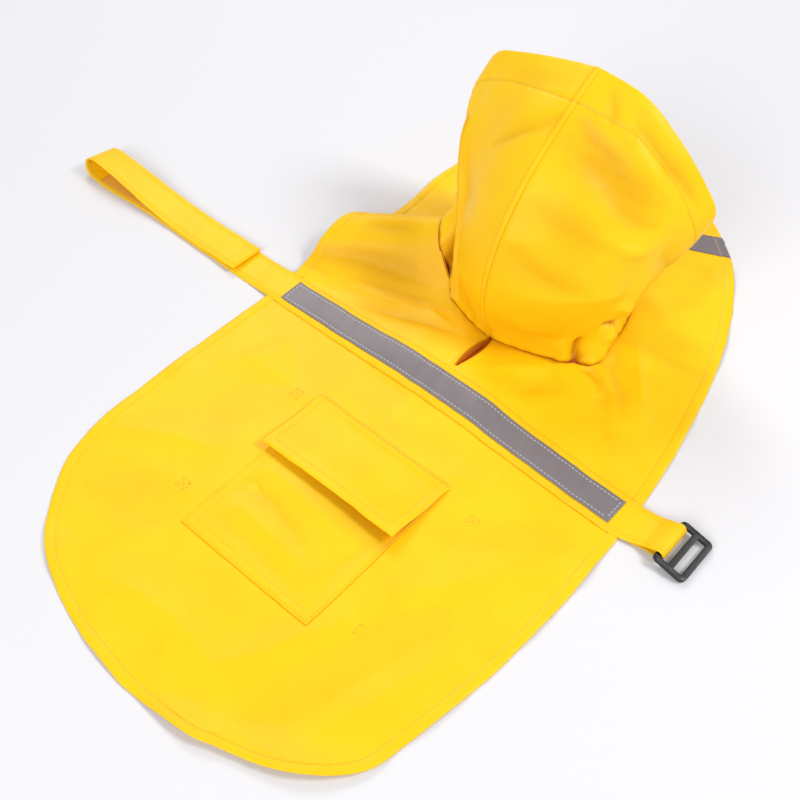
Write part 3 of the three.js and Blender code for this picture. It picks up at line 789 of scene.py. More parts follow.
@dataclass
class Cape:
    """The cape: one sheet with both chest flaps, its hem turned and stitched, slit at the spine."""

    form: CapeForm
    hem_left: Table = (
        (0, -117.4), (-38, -113), (-72, -105), (-107, -92), (-133, -75), (-156, -50), (-176, -20), (-186, 20),
        (-189, 70), (-189, 140), (-188, 200), (-187, 250), (-186, 310), (-179, 350), (-175, 390), (-177, 430),
        (-177, 480), (-172, 505), (-155, 535), (-128, 560), (-90, 578), (-45, 588), (5, 588), (32, 572), (40, 535),
        (38, 495),
    )
    hem_right: Table = (
        (0, -117.4), (17, -118), (72, -113), (97, -105), (133, -92), (160, -75), (182, -50), (189, -20), (196, 20),
        (202, 70), (205, 140), (203, 200), (200, 250), (192, 310), (184, 350), (175, 390), (163, 430), (143, 480),
        (123, 515), (106, 539), (82, 560), (60, 576), (30, 588), (-10, 590), (-36, 575), (-46, 540), (-44, 497),
    )
    neck_left: Table = (
        (0, 309), (-32, 315), (-58, 323), (-80, 334), (-95, 349), (-100, 372), (-96, 398), (-84, 421), (-64, 442),
        (-36, 455), (0, 460),
    )
    neck_right: Table = (
        (0, 309), (30, 317), (57, 327), (78, 336), (87, 343), (84, 356), (81, 375), (78, 402), (69, 427),
        (54, 446), (32, 456), (0, 460),
    )
    slit_back: float = 265.0
    slit_front: float = 309.0
    neck_from: float = 330.0
    spine_reach: float = 4.0
    weld: float = 0.04
    seed: int = 3
    slit_half: float = 2.7
    neck_turn: float = 3.0
    # where the rows of cloth start on the hem and end at the spine, the slit or the neck, and how many rows
    stations_left: Table = (
        (0, -117.4, 0, -60, 0), (-72, -105, 0, -34, 24), (-156, -50, 0, 0, 26), (-187, 25, 0, 44, 20),
        (-189, 140, 0, 140, 28), (-187, 245, 0, 236, 26), (-186, 290, 0, 268, 12), (-182, 335, 0, 309, 18),
        (-176, 385, -96, 352, 26), (-177, 450, -93, 398, 18), (-174, 500, -74, 428, 14), (-128, 560, -44, 450, 18),
        (-45, 588, 0, 457, 20), (32, 572, 30, 453, 18), (38, 495, 38, 450, 16),
    )
    stations_right: Table = (
        (0, -117.4, 0, -60, 0), (97, -105, 0, -34, 24), (182, -50, 0, 0, 26), (197, 25, 0, 44, 20),
        (205, 140, 0, 140, 28), (201, 245, 0, 236, 26), (195, 290, 0, 268, 12), (188, 328, 0, 309, 18),
        (178, 380, 77, 346, 26), (165, 425, 77, 390, 18), (143, 480, 68, 422, 18), (106, 539, 46, 445, 18),
        (30, 588, 0, 457, 20), (-36, 575, -36, 452, 18), (-44, 497, -44, 448, 16),
    )
    from_hem: tuple[float, ...] = (0, 0.5, 1.6, 3.2, 5.2, 7.2, 8.3, 9.2, 10.1, 11.4, 14, 18)
    from_inner: tuple[float, ...] = (0, 0.6, 1.4, 2.6, 4.2, 6.5, 10)
    middle_columns: int = 44
    finer: float = 1.2
    thickness: float = 0.9
    stitch_inset: float = 9.2
    # slow lifts of the hem: place, height, reach along it
    lifts: Table = (
        (-187, 30, 1.6, 46), (-182, 110, 1.1, 34), (-120, -88, 2.2, 50), (-20, -114, 1.4, 44), (70, -112, 2.6, 50),
        (150, -82, 2.4, 46), (196, 10, 1.6, 44), (205, 110, 1.3, 34), (204, 172, 2.2, 30), (186, 340, 2.0, 34),
        (158, 440, 2.2, 40), (122, 516, 2.4, 30), (-177, 440, 3.0, 40), (-150, 540, 2.2, 36), (0, 588, 1.6, 40),
    )

    def inner_line(self, side: str) -> Array:
        """Inner edge of one half: up the spine, along the slit, round the neck and on under the other flap."""
        sign = -1 if side == "left" else 1
        spine = [(0.0, float(y)) for y in np.linspace(-60, self.slit_back, 165)]
        slit = [
            (sign * self.slit_half * math.sin(math.pi * t) ** 0.7, self.slit_back + (self.slit_front - self.slit_back) * t)
            for t in np.linspace(0, 1, 19)[1:-1]
        ]
        own = smooth(self.neck_left if side == "left" else self.neck_right, 240)
        other = smooth(self.neck_right if side == "left" else self.neck_left, 240)[::-1]
        reach = 40 if side == "left" else 48
        across = other[np.abs(other[:, 0]) < reach]
        across = across[across[:, 1] > 430]
        ring = np.vstack([own, across[1:]])
        middle = np.array([0, 386])
        inward = middle - ring
        ring = ring + inward / np.linalg.norm(inward, axis=1, keepdims=True) * self.neck_turn
        return np.vstack([spine, slit, [(0.0, self.slit_front + self.neck_turn)], ring[1:]])

    def half(self, side: str) -> tuple[Array, Array, Array, Array]:
        """One half of the cape as a grid.

        Args:
            side: "left" or "right".

        Returns:
            Points by row from the hem inwards, distance from the hem, distance from the inner edge, and
            distance along the hem.
        """
        outer = smooth(self.hem_left if side == "left" else self.hem_right, 1400)
        inner = self.inner_line(side)
        stations = self.stations_left if side == "left" else self.stations_right
        outer_run, inner_run = arc(outer), arc(inner)
        kept: list[tuple[float, float]] = []
        low_outer = low_inner = 0
        for x, y, u, v, rows in stations:
            gap = np.hypot(outer[:, 0] - x, outer[:, 1] - y)
            gap[:low_outer] = 1e9
            far = np.hypot(inner[:, 0] - u, inner[:, 1] - v)
            far[:low_inner] = 1e9
            at_outer = int(gap[: low_outer + 420].argmin())
            at_inner = int(far[: low_inner + 150].argmin()) if rows else 0
            if rows:
                before = kept[-1]
                rows = round(rows * self.finer)
                for k in range(1, rows + 1):
                    t = k / rows
                    kept.append(
                        (
                            before[0] + (outer_run[at_outer] - before[0]) * t,
                            before[1] + (inner_run[at_inner] - before[1]) * t,
                        )
                    )
            else:
                kept.append((outer_run[at_outer], inner_run[at_inner]))
            low_outer, low_inner = at_outer, at_inner
        places = np.array(kept)
        outs = between(places[:, 0], outer_run, outer)
        ins = between(places[:, 1], inner_run, inner)
        length = np.linalg.norm(ins - outs, axis=1)
        near = np.array(self.from_hem)
        tail = np.array(self.from_inner)[::-1]
        columns = []
        for full in length:
            squeeze = min(1.0, full / 36)
            head, end = near * squeeze, full - tail * squeeze
            columns.append(np.concatenate([head, np.linspace(head[-1], end[0], self.middle_columns + 2)[1:-1], end]))
        away = np.array(columns)
        plan = outs[:, None] + (ins - outs)[:, None] * (away / length[:, None])[..., None]
        return plan, away, length[:, None] - away, np.broadcast_to(places[:, :1], away.shape)

    def hem_profile(self, away: Array, run: Array) -> Array:
        """Height that the turned hem adds, with its stitched groove and puckers."""
        inset = self.stitch_inset
        turned = 0.5 * ease(away, 0, 1.8) * (1 - ease(away, inset - 0.6, inset + 1.2)) - 0.45 * (1 - ease(away, 0, 1.2))
        groove = -0.55 * bell((away - inset) / 1.7)
        pucker = 0.26 * ripple(run, 17, self.seed) * bell((away - inset + 2) / 13) * ease(run, 0, 20)
        return turned + groove + pucker

    def lift(self, x: Array, y: Array, away: Array) -> Array:
        """Height by which the hem stands off the table here and there."""
        total = np.zeros(x.shape)
        for px, py, height, reach in self.lifts:
            total += height * bell(np.hypot(x - px, y - py) / reach)
        return total * (1 - ease(away, 0, 34))

    def slit_lip(self, inner: Array, y: Array) -> tuple[Array, Array]:
        """The slit's lips, turned down towards each other.

        Args:
            inner: distance from the slit's edge.
            y: place along the spine.

        Returns:
            Height that the lips add, and the share of the way that their edges close towards the spine.
        """
        near = ease(y, self.slit_back - 5, self.slit_back - 1) * (1 - ease(y, self.slit_front - 4, self.slit_front + 2))
        down = 3.6 * (1 - ease(inner, 0, 2.3))
        return near * (1.3 * bell((inner - 3.6) / 3.6) - down), 1 - ease(inner, 0, 1.5)

    def off_spine(self, plan: Array) -> Array:
        """Which rows end on the neck seam, and not on the spine or the slit."""
        return (np.abs(plan[:, -1:, 0]) >= self.spine_reach) | (plan[:, -1:, 1] > self.neck_from)

    def inner_shade(self, plan: Array, inner: Array) -> Array:
        """Painted shade at the cloth's inner edges: dark inside the slit and along the neck seam."""
        y = plan[:, -1:, 1]
        aside = np.abs(plan[:, -1:, 0])
        opened = ease(y, self.slit_back - 6, self.slit_back - 2) * (y < self.slit_front + 2)
        slit = (aside < self.spine_reach) * opened
        wide = 3.4 + 2.4 * ease(aside, 52, 84)
        return slit * (1 - ease(inner, 0.8, 2.8)) + 0.9 * self.off_spine(plan) * bell((inner - 2.4) / wide)

    def build(self, wardrobe: Wardrobe, sewing: Sewing) -> None:
        """Builds the cape and sews its hem and slit."""
        verts, faces, plans, painted_shades = [], [], [], []
        lines: list[tuple[Array, Array]] = []
        base = 0
        for side in ("left", "right"):
            plan, away, inner, run = self.half(side)
            x, y = plan[..., 0], plan[..., 1]
            lapped = side == "right"
            pucker = ripple(run, 48, self.seed + 20) * 0.3 * (1 - ease(away, 0, 20)) * ease(run, 0, 20)
            across = plan[:, -1] - plan[:, 0]
            across /= np.linalg.norm(across, axis=1, keepdims=True)
            shifted = plan + across[:, None] * pucker[..., None]
            crease = self.form.top(x, y, lapped) - self.form.rise(x, y, lapped) - CLOTH
            height = self.form.top(x, y, lapped) + self.hem_profile(away, run) + self.lift(x, y, away)
            on_spine = (np.abs(plan[:, -1:, 0]) < self.spine_reach) * (plan[:, -1:, 1] < self.slit_front + 3)
            lip, shut = self.slit_lip(inner, y)
            height += lip * on_spine
            shifted[..., 0] *= 1 - 0.98 * shut * on_spine * (inner < 1.6)
            height -= 0.9 * self.off_spine(plan) * bell((inner - 2.4) / 3.4)
            height = np.maximum(height, self.thickness + 0.02)
            grid = np.dstack([shifted, height])
            rows, cols = x.shape
            normal = normals_of(grid if side == "left" else grid[:, ::-1])
            if side == "right":
                normal = normal[:, ::-1]
            stitch = list(self.from_hem).index(self.stitch_inset)
            lines.append((grid[:, stitch], normal[:, stitch]))
            beside = (plan[:, -1, 1] > self.slit_back - 8) & (plan[:, -1, 1] < self.slit_front)
            slit_rows = np.where(beside & (np.abs(plan[:, -1, 0]) < self.spine_reach))[0]
            lines.append((grid[slit_rows, -5], normal[slit_rows, -5]))
            order = quads(rows, cols, base)
            faces += [tuple(reversed(f)) for f in order] if side == "right" else order
            verts.append(grid.reshape(-1, 3))
            plans.append(shifted.reshape(-1, 2))
            # painted shade: crease troughs, the slit and the neck seam, and a broad painted shade over the left
            # shoulder beside the hood
            shade = np.clip(-crease / 14, 0, 0.16) + self.inner_shade(plan, inner)
            shade += 0.1 * bell(np.hypot((x + 125) / 120, (y - 312) / 70))
            painted_shades.append(shade.reshape(-1))
            base += rows * cols
        made = mesh_object("cape", np.vstack(verts), faces)
        add_uv(made, np.vstack(plans))
        add_painted_shade(made, np.concatenate(painted_shades))
        edit_whole(made, bpy.ops.mesh.remove_doubles, threshold=self.weld * MM)
        apply_modifier(made, "SOLIDIFY", thickness=self.thickness * MM, offset=-1)
        finish_piece(made, wardrobe.cloth, "coated_cloth", "back_panel", "shoulder_left", "shoulder_right")
        sewing.sew("hem_stitches", lines, wardrobe.thread, "coated_cloth")


# The hood


@dataclass
class HoodPanel:
    """One of the hood's two panels, from the neck seam up to its turned brim."""

    side: str
    neck: Table
    rim: Table
    swell: Table  # along the rim, then how far out at the four heights
    dents: Table  # along, up, reach along, reach up, how far out
    creases: tuple[Crease, ...]
    form: CapeForm
    shades: Table = ()  # along and up in millimetres, reach along and up, how much painted shade the cloth gets there
    heights: tuple[float, ...] = (0.15, 0.35, 0.6, 0.85)
    axis_y: float = 400.0
    brim: float = 28.0
    foot: float = 0.4
    ribs: int = 176
    from_rim: tuple[float, ...] = (0, 0.5, 1.6, 4, 8, 12, 16, 20, 24, 26.4, 27.3, 28, 28.7, 29.6, 32, 36)
    from_neck: tuple[float, ...] = (0, 0.6, 1.4, 2.6, 4.4, 7, 10)
    middle_rows: int = 72
    thickness: float = 0.9
    # ribs beside the centre seam lie closer together, so that its lap can be shaped
    seam_ribs: tuple[float, ...] = (0, 0.2, 0.45, 0.8, 1.2, 1.6, 2.1, 2.6, 3.2)
    span_along: float = 330.0
    span_up: float = 190.0

    @property
    def sign(self) -> int:
        """-1 on the left and 1 on the right."""
        return -1 if self.side == "left" else 1

    def hermite(self, places: Array, values: Array, at: Array) -> Array:
        """Smooth curve through values at uneven places.

        Args:
            places: where the values are given.
            values: the values.
            at: where to read the curve.

        Returns:
            The curve at each of those places.
        """
        slope = np.gradient(values, places)
        k = np.clip(np.searchsorted(places, at, side="right") - 1, 0, len(places) - 2)
        span = places[k + 1] - places[k]
        t = (at - places[k]) / span
        return (
            (2 * t**3 - 3 * t**2 + 1) * values[k]
            + (t**3 - 2 * t**2 + t) * span * slope[k]
            + (3 * t**2 - 2 * t**3) * values[k + 1]
            + (t**3 - t**2) * span * slope[k + 1]
        )

    def grid(self) -> tuple[Array, Array, Array, Array, Array]:
        """Points of the panel.

        Returns:
            Points by rib from the centre seam and by row from the neck to the rim, the distance from the
            rim, the distance from the neck, the place along the rim and the share of the way up.
        """
        along = np.linspace(0, 1, self.ribs)
        rim = smooth(self.rim, self.ribs)
        feet = smooth(self.neck, self.ribs)
        lapped = (self.side == "right") | (feet[:, 0] > -44)
        base_z = np.where(
            lapped & (feet[:, 1] > 425),
            self.form.top(feet[:, 0], feet[:, 1], True),
            self.form.top(feet[:, 0], feet[:, 1]),
        )
        base = np.column_stack([feet, base_z + self.foot])
        chord = rim - base
        length = np.linalg.norm(chord, axis=1)
        middle = base + chord / 2
        outward = np.column_stack([middle[:, 0], middle[:, 1] - self.axis_y, np.zeros(self.ribs)])
        outward /= np.linalg.norm(outward, axis=1, keepdims=True)
        unit = chord / length[:, None]
        outward -= unit * np.sum(outward * unit, 1, keepdims=True)
        outward /= np.linalg.norm(outward, axis=1, keepdims=True)
        rows = []
        for full in length:
            squeeze = min(1.0, full / 70)
            top = full - np.array(self.from_rim)[::-1] * squeeze
            low = np.array(self.from_neck) * squeeze
            rows.append(np.concatenate([low, np.linspace(low[-1], top[0], self.middle_rows + 2)[1:-1], top]))
        up_mm = np.array(rows)
        up = up_mm / length[:, None]
        table = np.array(self.swell)
        columns = [self.hermite(table[:, 0], table[:, k], along) for k in range(1, 5)]
        knots = np.array([0, *self.heights, 1])
        ends = np.zeros(self.ribs)
        bulge = np.column_stack([ends, *columns, ends])
        out = np.array([self.hermite(knots, values, shares) for values, shares in zip(bulge, up)])
        for place, height, wide, tall, far in self.dents:
            out += far * bell(np.hypot((along[:, None] - place) / wide, (up - height) / tall))
        points = base[:, None] + chord[:, None] * up[..., None] + outward[:, None] * out[..., None]
        across = np.broadcast_to(along[:, None], up.shape)
        return points, length[:, None] - up_mm, up_mm, across, up

    def gathered(self, values: Array) -> Array:
        """Values of the ribs once those beside the centre seam are drawn closer together."""
        places = np.concatenate([self.seam_ribs, np.arange(4, self.ribs)])
        whole = places.astype(int)
        share = (places % 1).reshape(-1, *[1] * (values.ndim - 1))
        return (1 - share) * values[whole] + share * values[np.minimum(whole + 1, self.ribs - 1)]

    def relief(self, rim: Array, neck: Array, run: Array, across: Array, up: Array) -> tuple[Array, Array]:
        """How far the cloth stands out from the panel's form, and its creases alone."""
        turned = 0.55 * (1 - ease(rim, self.brim - 0.4, self.brim + 1.0)) - 0.5 * (1 - ease(rim, 0, 1.4))
        groove = -0.7 * bell((rim - self.brim) / 1.8)
        pucker = 0.5 * ripple(run, 15, 5) * bell((rim - self.brim) / 11) + 0.3 * ripple(run, 21, 6) * bell(rim / 16)
        gather = 1.3 * ripple(run * 0.8, 21, 9) * bell((neck - 5) / 16) * ease(neck, 0, 3)
        roll = 1.2 * bell((neck - 5.5) / 5.5)
        crease = creased(self.creases, across * self.span_along, up * self.span_up)
        return turned + groove + pucker + gather + roll, crease

    def seam(self, distance: Array) -> Array:
        """How the cloth dips into the centre seam, lapped and topstitched on the left."""
        dip = -1.1 * (1 - ease(distance, 0, 1.5))
        if self.side == "left":
            return dip + 1.0 * bell((distance - 2.6) / 2.6) - 0.6 * bell((distance - 5.6) / 1.6)
        return dip - 0.4 * bell((distance - 1.5) / 3.0)

    def build(self, wardrobe: Wardrobe) -> tuple[bpy.types.Object, list[tuple[Array, Array]]]:
        """Builds the panel.

        Returns:
            The panel, and its lines of stitches with their normals.
        """
        points, rim, neck, across, up = (self.gathered(values) for values in self.grid())
        normal = normals_of(points)
        if np.mean(normal[..., 0]) * self.sign < 0:
            normal = -normal
        run = np.cumsum(np.linalg.norm(np.diff(points, axis=0, prepend=points[:1]), axis=2), axis=0)
        seam_gap = np.linalg.norm(points - points[:1], axis=2)
        extra, crease = self.relief(rim, neck, run, across, up)
        seam = self.seam(seam_gap)
        points = points + normal * (extra + crease * ease(seam_gap, 0, 12) + seam)[..., None]
        points[0, :, 0] = self.sign * 0.05
        points[1:, :, 0] = np.where(self.sign * points[1:, :, 0] < 0.1, self.sign * 0.1, points[1:, :, 0])
        rows, cols = rim.shape
        listed = quads(rows, cols)
        if self.side == "left":
            listed = [tuple(reversed(f)) for f in listed]
        made = mesh_object(f"hood_{self.side}_cloth", points.reshape(-1, 3), listed)
        add_uv(made, np.dstack([run, neck]).reshape(-1, 2))
        # painted shade: darker in crease troughs, along the neck seam and in the listed shade patches
        wide = 3.6 + 2.6 * ease(across, 0.12, 0.24)
        depth = np.clip(-crease / 16, 0, 0.3) + 0.95 * bell(neck / wide)
        for place, height, reach, tall, deep in self.shades:
            sideways = (across * self.span_along - place) / reach
            depth = depth + deep * bell(np.hypot(sideways, (up * self.span_up - height) / tall))
        add_painted_shade(made, depth.reshape(-1))
        facing = np.array([p.normal[:] for p in made.data.polygons])
        centres = np.array([p.center[:] for p in made.data.polygons])
        if np.mean(facing[:, 0] * centres[:, 0]) < 0:
            edit_whole(made, bpy.ops.mesh.flip_normals)
        apply_modifier(made, "SOLIDIFY", thickness=self.thickness * MM, offset=0)
        finish_piece(made, wardrobe.cloth, "coated_cloth", f"hood_{self.side}")
        brim_row = cols - 1 - list(self.from_rim).index(28)
        lift = normal * (self.thickness / 2)
        lines = [((points + lift)[:, brim_row], normal[:, brim_row])]
        if self.side == "left":
            lap = int(np.abs(seam_gap[:, cols // 2] - 5.6).argmin())
            lines.append(((points + lift)[lap], normal[lap]))
        return made, lines


@dataclass
class Hood:
    """The standing hood: two panels joined at the curved centre seam."""

    form: CapeForm
    cape: Cape
    rim_left: Table = (
        (0, 424, 222), (-40, 429, 210), (-80, 433, 196), (-109, 437, 181), (-121, 440, 151), (-119, 444, 112),
        (-104, 450, 72), (-74, 457, 40), (-38, 463, 22), (-8, 466, 16),
    )
    rim_right: Table = (
        (0, 424, 222), (42, 427, 214), (74, 430, 191), (102, 434, 161), (118, 438, 133), (106, 444, 102),
        (90, 450, 72), (67, 457, 44), (38, 463, 25), (8, 466, 18),
    )
    swell_left: Table = (
        (0, 35, 53, 48, 21), (0.1, 22, 36, 37, 23), (0.2, 4, 14, 28, 20), (0.3, -8, 2, 16, 9), (0.4, -9, -1, 5, 7),
        (0.55, -4, -2, 1, 3), (0.75, -2, -2, 0, 1), (1, 0, 0, 0, 0),
    )
    swell_right: Table = (
        (0, 35, 53, 48, 21), (0.1, 26, 42, 39, 19), (0.2, 16, 27, 27, 15), (0.3, 6, 12, 14, 8), (0.4, -2, 1, 4, 3),
        (0.55, -5, -7, -3, 0), (0.75, -3, -5, -3, 0), (1, 0, 0, 0, 0),
    )
    dents_left: Table = ((0.14, 0.72, 0.1, 0.22, -3),)
    dents_right: Table = (
        (0.42, 0.07, 0.15, 0.1, 5), (0.42, 0.25, 0.15, 0.12, -5), (0.36, 0.62, 0.1, 0.22, -4),
        (0.2, 0.35, 0.14, 0.3, 3),
    )
    # painted shade in the hollows near the hood's foot: the puff at the left, the pinch and a trough at the right
    shades_left: Table = ((90, 30, 20, 110, 0.35),)
    shades_right: Table = ((96, 2, 12, 20, 0.55), (140, 42, 40, 9, 0.22))
    # creases run over the panel: distance along the rim and up the rib, in millimetres
    creases_left: tuple[Crease, ...] = lay(
        (2, 160, 14, 140, 36, 122, 7, -3.4), (4, 152, 30, 150, 60, 140, 26, 2.4),
        (10, 176, 40, 166, 70, 176, 16, -1.8), (62, -14, 68, 50, 84, 140, 12, 7.5),
        (88, -14, 92, 44, 104, 130, 21, -15.0), (20, 4, 24, 22, 44, 34, 14, -3.0),
        (2, 40, 20, 30, 50, 44, 16, 2.2), (20, 90, 36, 80, 56, 92, 26, -2.0), (120, 20, 150, 40, 160, 80, 24, 3.2),
        (160, 20, 190, 50, 230, 60, 20, -3.2), (110, 130, 150, 110, 190, 130, 24, -2.8),
        (230, 20, 260, 40, 290, 24, 18, 2.2),
    )
    creases_right: tuple[Crease, ...] = lay(
        # brim: the long trough above its stitching, and its start beside the centre seam
        (36, 173, 72, 165, 134, 172, 9, -4.6), (34, 184, 74, 181, 120, 184, 7, 2.4),
        (16, 182, 24, 174, 22, 164, 8, -2.8),
        # back of the head: broad planes between soft edges
        (4, 164, 16, 150, 40, 148, 10, -3.4), (2, 150, 20, 136, 70, 146, 24, -4.0),
        (40, 160, 70, 150, 104, 154, 14, 2.4), (14, 146, 40, 122, 92, 146, 22, -3.4),
        (30, 132, 60, 112, 96, 134, 16, -3.0), (34, 106, 62, 98, 92, 112, 9, 3.2),
        (2, 112, 22, 94, 50, 100, 26, -3.6), (2, 80, 20, 56, 52, 66, 26, -3.8), (6, 46, 40, 60, 90, 78, 24, 3.0),
        (40, 84, 64, 110, 110, 116, 30, 2.6), (4, 22, 30, 12, 60, 26, 14, -2.4),
        # the pinch and the puff at the right of the foot
        (78, 24, 88, 10, 104, -6, 8, -8.0, Fade.END), (58, 22, 70, 12, 82, 2, 10, 3.4),
        (86, 42, 114, 50, 182, 30, 6, -6.5), (88, 60, 120, 66, 170, 46, 10, 3.0),
        (108, 30, 132, 32, 166, 16, 14, 4.2), (128, 66, 150, 62, 186, 58, 10, 2.8),
        (150, 40, 168, 46, 196, 30, 9, -4.6), (190, 60, 220, 50, 250, 60, 18, -3.0),
        (120, 120, 150, 104, 190, 116, 26, -3.0), (220, 20, 250, 34, 290, 26, 16, 2.0),
    )

    def build(self, wardrobe: Wardrobe, sewing: Sewing) -> None:
        """Builds both panels and sews brim and centre seam."""
        left = ("left", self.cape.neck_left, self.rim_left, self.swell_left, self.dents_left, self.creases_left)
        right = ("right", self.cape.neck_right, self.rim_right, self.swell_right, self.dents_right, self.creases_right)
        lines: list[tuple[Array, Array]] = []
        for shape, shades in ((left, self.shades_left), (right, self.shades_right)):
            made, more = HoodPanel(*shape, self.form, shades).build(wardrobe)
            lines += more
        sewing.sew("hood_stitches", lines, wardrobe.thread, "coated_cloth")


# The pocket


@dataclass
class Pocket:
    """Patch pocket, sewn at its sides and lower edge."""

    form: CapeForm
    middle: float = 8.0
    width: float = 137.0
    bottom: float = 0.0
    height: float = 150.0
    puff: float = 2.2
    fullest: float = 0.62
    stitch_inset: float = 2.4
    second_inset: float = 8.5
    creases: tuple[Crease, ...] = lay(
        (-54, 60, -20, 62, 30, 44, 15, -2.0), (-54, 78, -10, 86, 60, 66, 15, 1.6),
        (-50, 40, 0, 40, 60, 28, 14, 1.7), (-46, 22, 10, 20, 60, 12, 12, -1.2),
        (-50, 88, -40, 66, -44, 34, 18, -0.9), (66, 84, 56, 60, 66, 30, 10, -1.3),
    )

    def swell(self, x: Array, y: Array) -> Array:
        """Height of the pocket's swell over the cape."""
        across = (x - self.middle) / (self.width / 2)
        fullest = self.height * self.fullest
        return self.puff * bell(across) * bell((y - self.bottom - fullest) / fullest)

    def top(self, x: Array, y: Array) -> Array:
        """Top of the pocket's cloth."""
        half = self.width / 2
        edge = np.minimum(np.minimum(x - self.middle + half, self.middle + half - x), y - self.bottom)
        turned = 0.35 * bell((edge - 1.2) / 1.6) - 0.7 * (1 - ease(edge, 0, 0.9))
        grooves = 0.5 * bell((edge - self.stitch_inset) / 1.3) + 0.4 * bell((edge - self.second_inset) / 1.6)
        pucker = 0.3 * ripple(x + 1.7 * y, 13, 31) * bell((edge - 4) / 9)
        sewn = turned - grooves + pucker
        return self.form.top(x, y) + CLOTH + self.swell(x, y) + sewn + creased(self.creases, x, y)

    def build(self, wardrobe: Wardrobe, sewing: Sewing) -> None:
        """Builds and sews the pocket."""
        left, right = self.middle - self.width / 2, self.middle + self.width / 2
        fine = np.array([0, 0.4, 1.0, 1.7, 2.4, 3.1, 4.2, 6, 8.5])
        xs = np.concatenate([left + fine, np.linspace(left + 11, right - 11, 42), (right - fine)[::-1]])
        ys = np.concatenate([self.bottom + fine, np.linspace(self.bottom + 11, self.bottom + self.height, 50)])
        x, y = np.meshgrid(xs, ys)
        wobble = 0.35 * ripple(x + y, 34, 12)
        grid = np.dstack([x + wobble * 0.6, y + wobble, self.top(x, y)])
        made = mesh_object("pocket_cloth", grid.reshape(-1, 3), quads(*x.shape))
        add_uv(made, np.dstack([x, y]).reshape(-1, 2))
        # painted shadow of the flap on the pocket below its lower edge, with painted shade in the crease troughs
        flap_shadow = 0.27 * ease(y, 71, 93) * ease(x, self.middle - 60, self.middle + 30)
        add_painted_shade(made, (np.maximum(-creased(self.creases, x, y) / 16, 0) + flap_shadow).ravel())
        apply_modifier(made, "SOLIDIFY", thickness=0.9 * MM, offset=-1)
        finish_piece(made, wardrobe.cloth, "coated_cloth", "pocket")
        normal = normals_of(grid)
        k, m = (list(fine).index(inset) for inset in (self.stitch_inset, self.second_inset))
        lines = [
            (grid[k:, k], normal[k:, k]),
            (grid[k:, -1 - k], normal[k:, -1 - k]),
            (grid[k, k : len(xs) - k], normal[k, k : len(xs) - k]),
            (grid[m, m : len(xs) - m], normal[m, m : len(xs) - m]),
            (grid[m:, m], normal[m:, m]),
        ]
        sewing.sew("pocket_stitches", lines, wardrobe.thread, "coated_cloth")


@dataclass
class PocketFlap:
    """Flap of the pocket, folded double, its lower edge standing proud."""

    form: CapeForm
    pocket: Pocket
    middle: float = 5.0
    width: float = 143.0
    bottom: float = 93.5
    top: float = 163.0
    lift: float = 4.5
    left_lift: float = 0.45
    turn_from: float = 2.0
    turn_to: float = 12.0
    inset: float = 8.0
    # stitched outline of the fastener patch behind the flap: left, bottom, right, top
    patch: tuple[float, float, float, float] = (-8.0, 103.0, 32.0, 122.0)

    def underside(self, x: Array, y: Array) -> Array:
        """Underside of the flap."""
        left, right = self.middle - self.width / 2, self.middle + self.width / 2
        down = self.top - y
        over = ease(down, self.turn_from, self.turn_to) * (CLOTH + GAP + self.pocket.swell(x, y))
        corner = self.left_lift + (1 - self.left_lift) * ease(x, left, right)
        lift = self.lift * corner * ease(down, self.turn_to, self.top - self.bottom)
        wave = 0.7 * np.sin((x - left) / 23.0) * ease(down, 20, 68)
        curl = 3.6 * ease(down, 30, 68) * (0.3 + 0.7 * corner)
        return self.form.top(x, y) + GAP + over + lift + wave + curl

    def build(self, wardrobe: Wardrobe, sewing: Sewing) -> None:
        """Builds and sews the flap."""
        left, right = self.middle - self.width / 2, self.middle + self.width / 2
        fine = np.array([0, 0.25, 0.8, 1.8, 3.4, 5.4, 7.0, 8.0, 9.0, 10.6])
        xs = np.concatenate([left + fine, np.linspace(left + 14, right - 14, 42), (right - fine)[::-1]])
        between_edges = np.linspace(self.bottom + 14, self.top - 6, 16)
        ys = np.concatenate([self.bottom + fine, between_edges, self.top - fine[4::-1]])
        x, y = np.meshgrid(xs, ys)
        edge = np.minimum(np.minimum(x - left, right - x), y - self.bottom)
        far = np.minimum(edge, self.top - y)
        half = 0.25 + 0.75 * ease(far, -0.2, 1.4)
        half = half + 0.2 * bell((edge - 3.6) / 3.4) - 0.3 * bell((edge - self.inset) / 1.5)
        pucker = 0.25 * ripple(x * 1.3 + y, 13, 44) * bell((edge - self.inset) / 9)
        wavy = 0.4 * ripple(x, 41, 5) * ease(-y, -self.bottom - 14, -self.bottom)
        middle = np.dstack([x, y + wavy, self.underside(x, y) + 1.0 + pucker])
        normal = normals_of(middle)
        made = closed_band("pocket_flap_cloth", middle.transpose(1, 0, 2), normal.transpose(1, 0, 2), half.T)
        add_uv(made, both_faces(np.dstack([x, y]).transpose(1, 0, 2)))
        add_painted_shade(made, np.zeros(len(made.data.vertices)))
        finish_piece(made, wardrobe.cloth, "coated_cloth", "pocket_flap")
        top = middle + normal * half[..., None]
        k = list(fine).index(self.inset)
        lines = [
            (top[k:, k], normal[k:, k]),
            (top[k:, -1 - k], normal[k:, -1 - k]),
            (top[k, k : len(xs) - k], normal[k, k : len(xs) - k]),
            (top[-2, 1:-1], normal[-2, 1:-1]),
            (top[-4, 1:-1], normal[-4, 1:-1]),
        ]
        x0, y0, x1, y1 = self.patch
        box = resample(np.array([(x0, y0), (x1, y0), (x1, y1), (x0, y1), (x0, y0)], float), 90)
        height = self.underside(box[:, 0], box[:, 1]) + 1.8
        lines.append((np.column_stack([box, height]), np.tile([0, 0, 1.0], (len(box), 1))))
        sewing.sew("flap_stitches", lines, wardrobe.thread, "coated_cloth")


# The belly strap


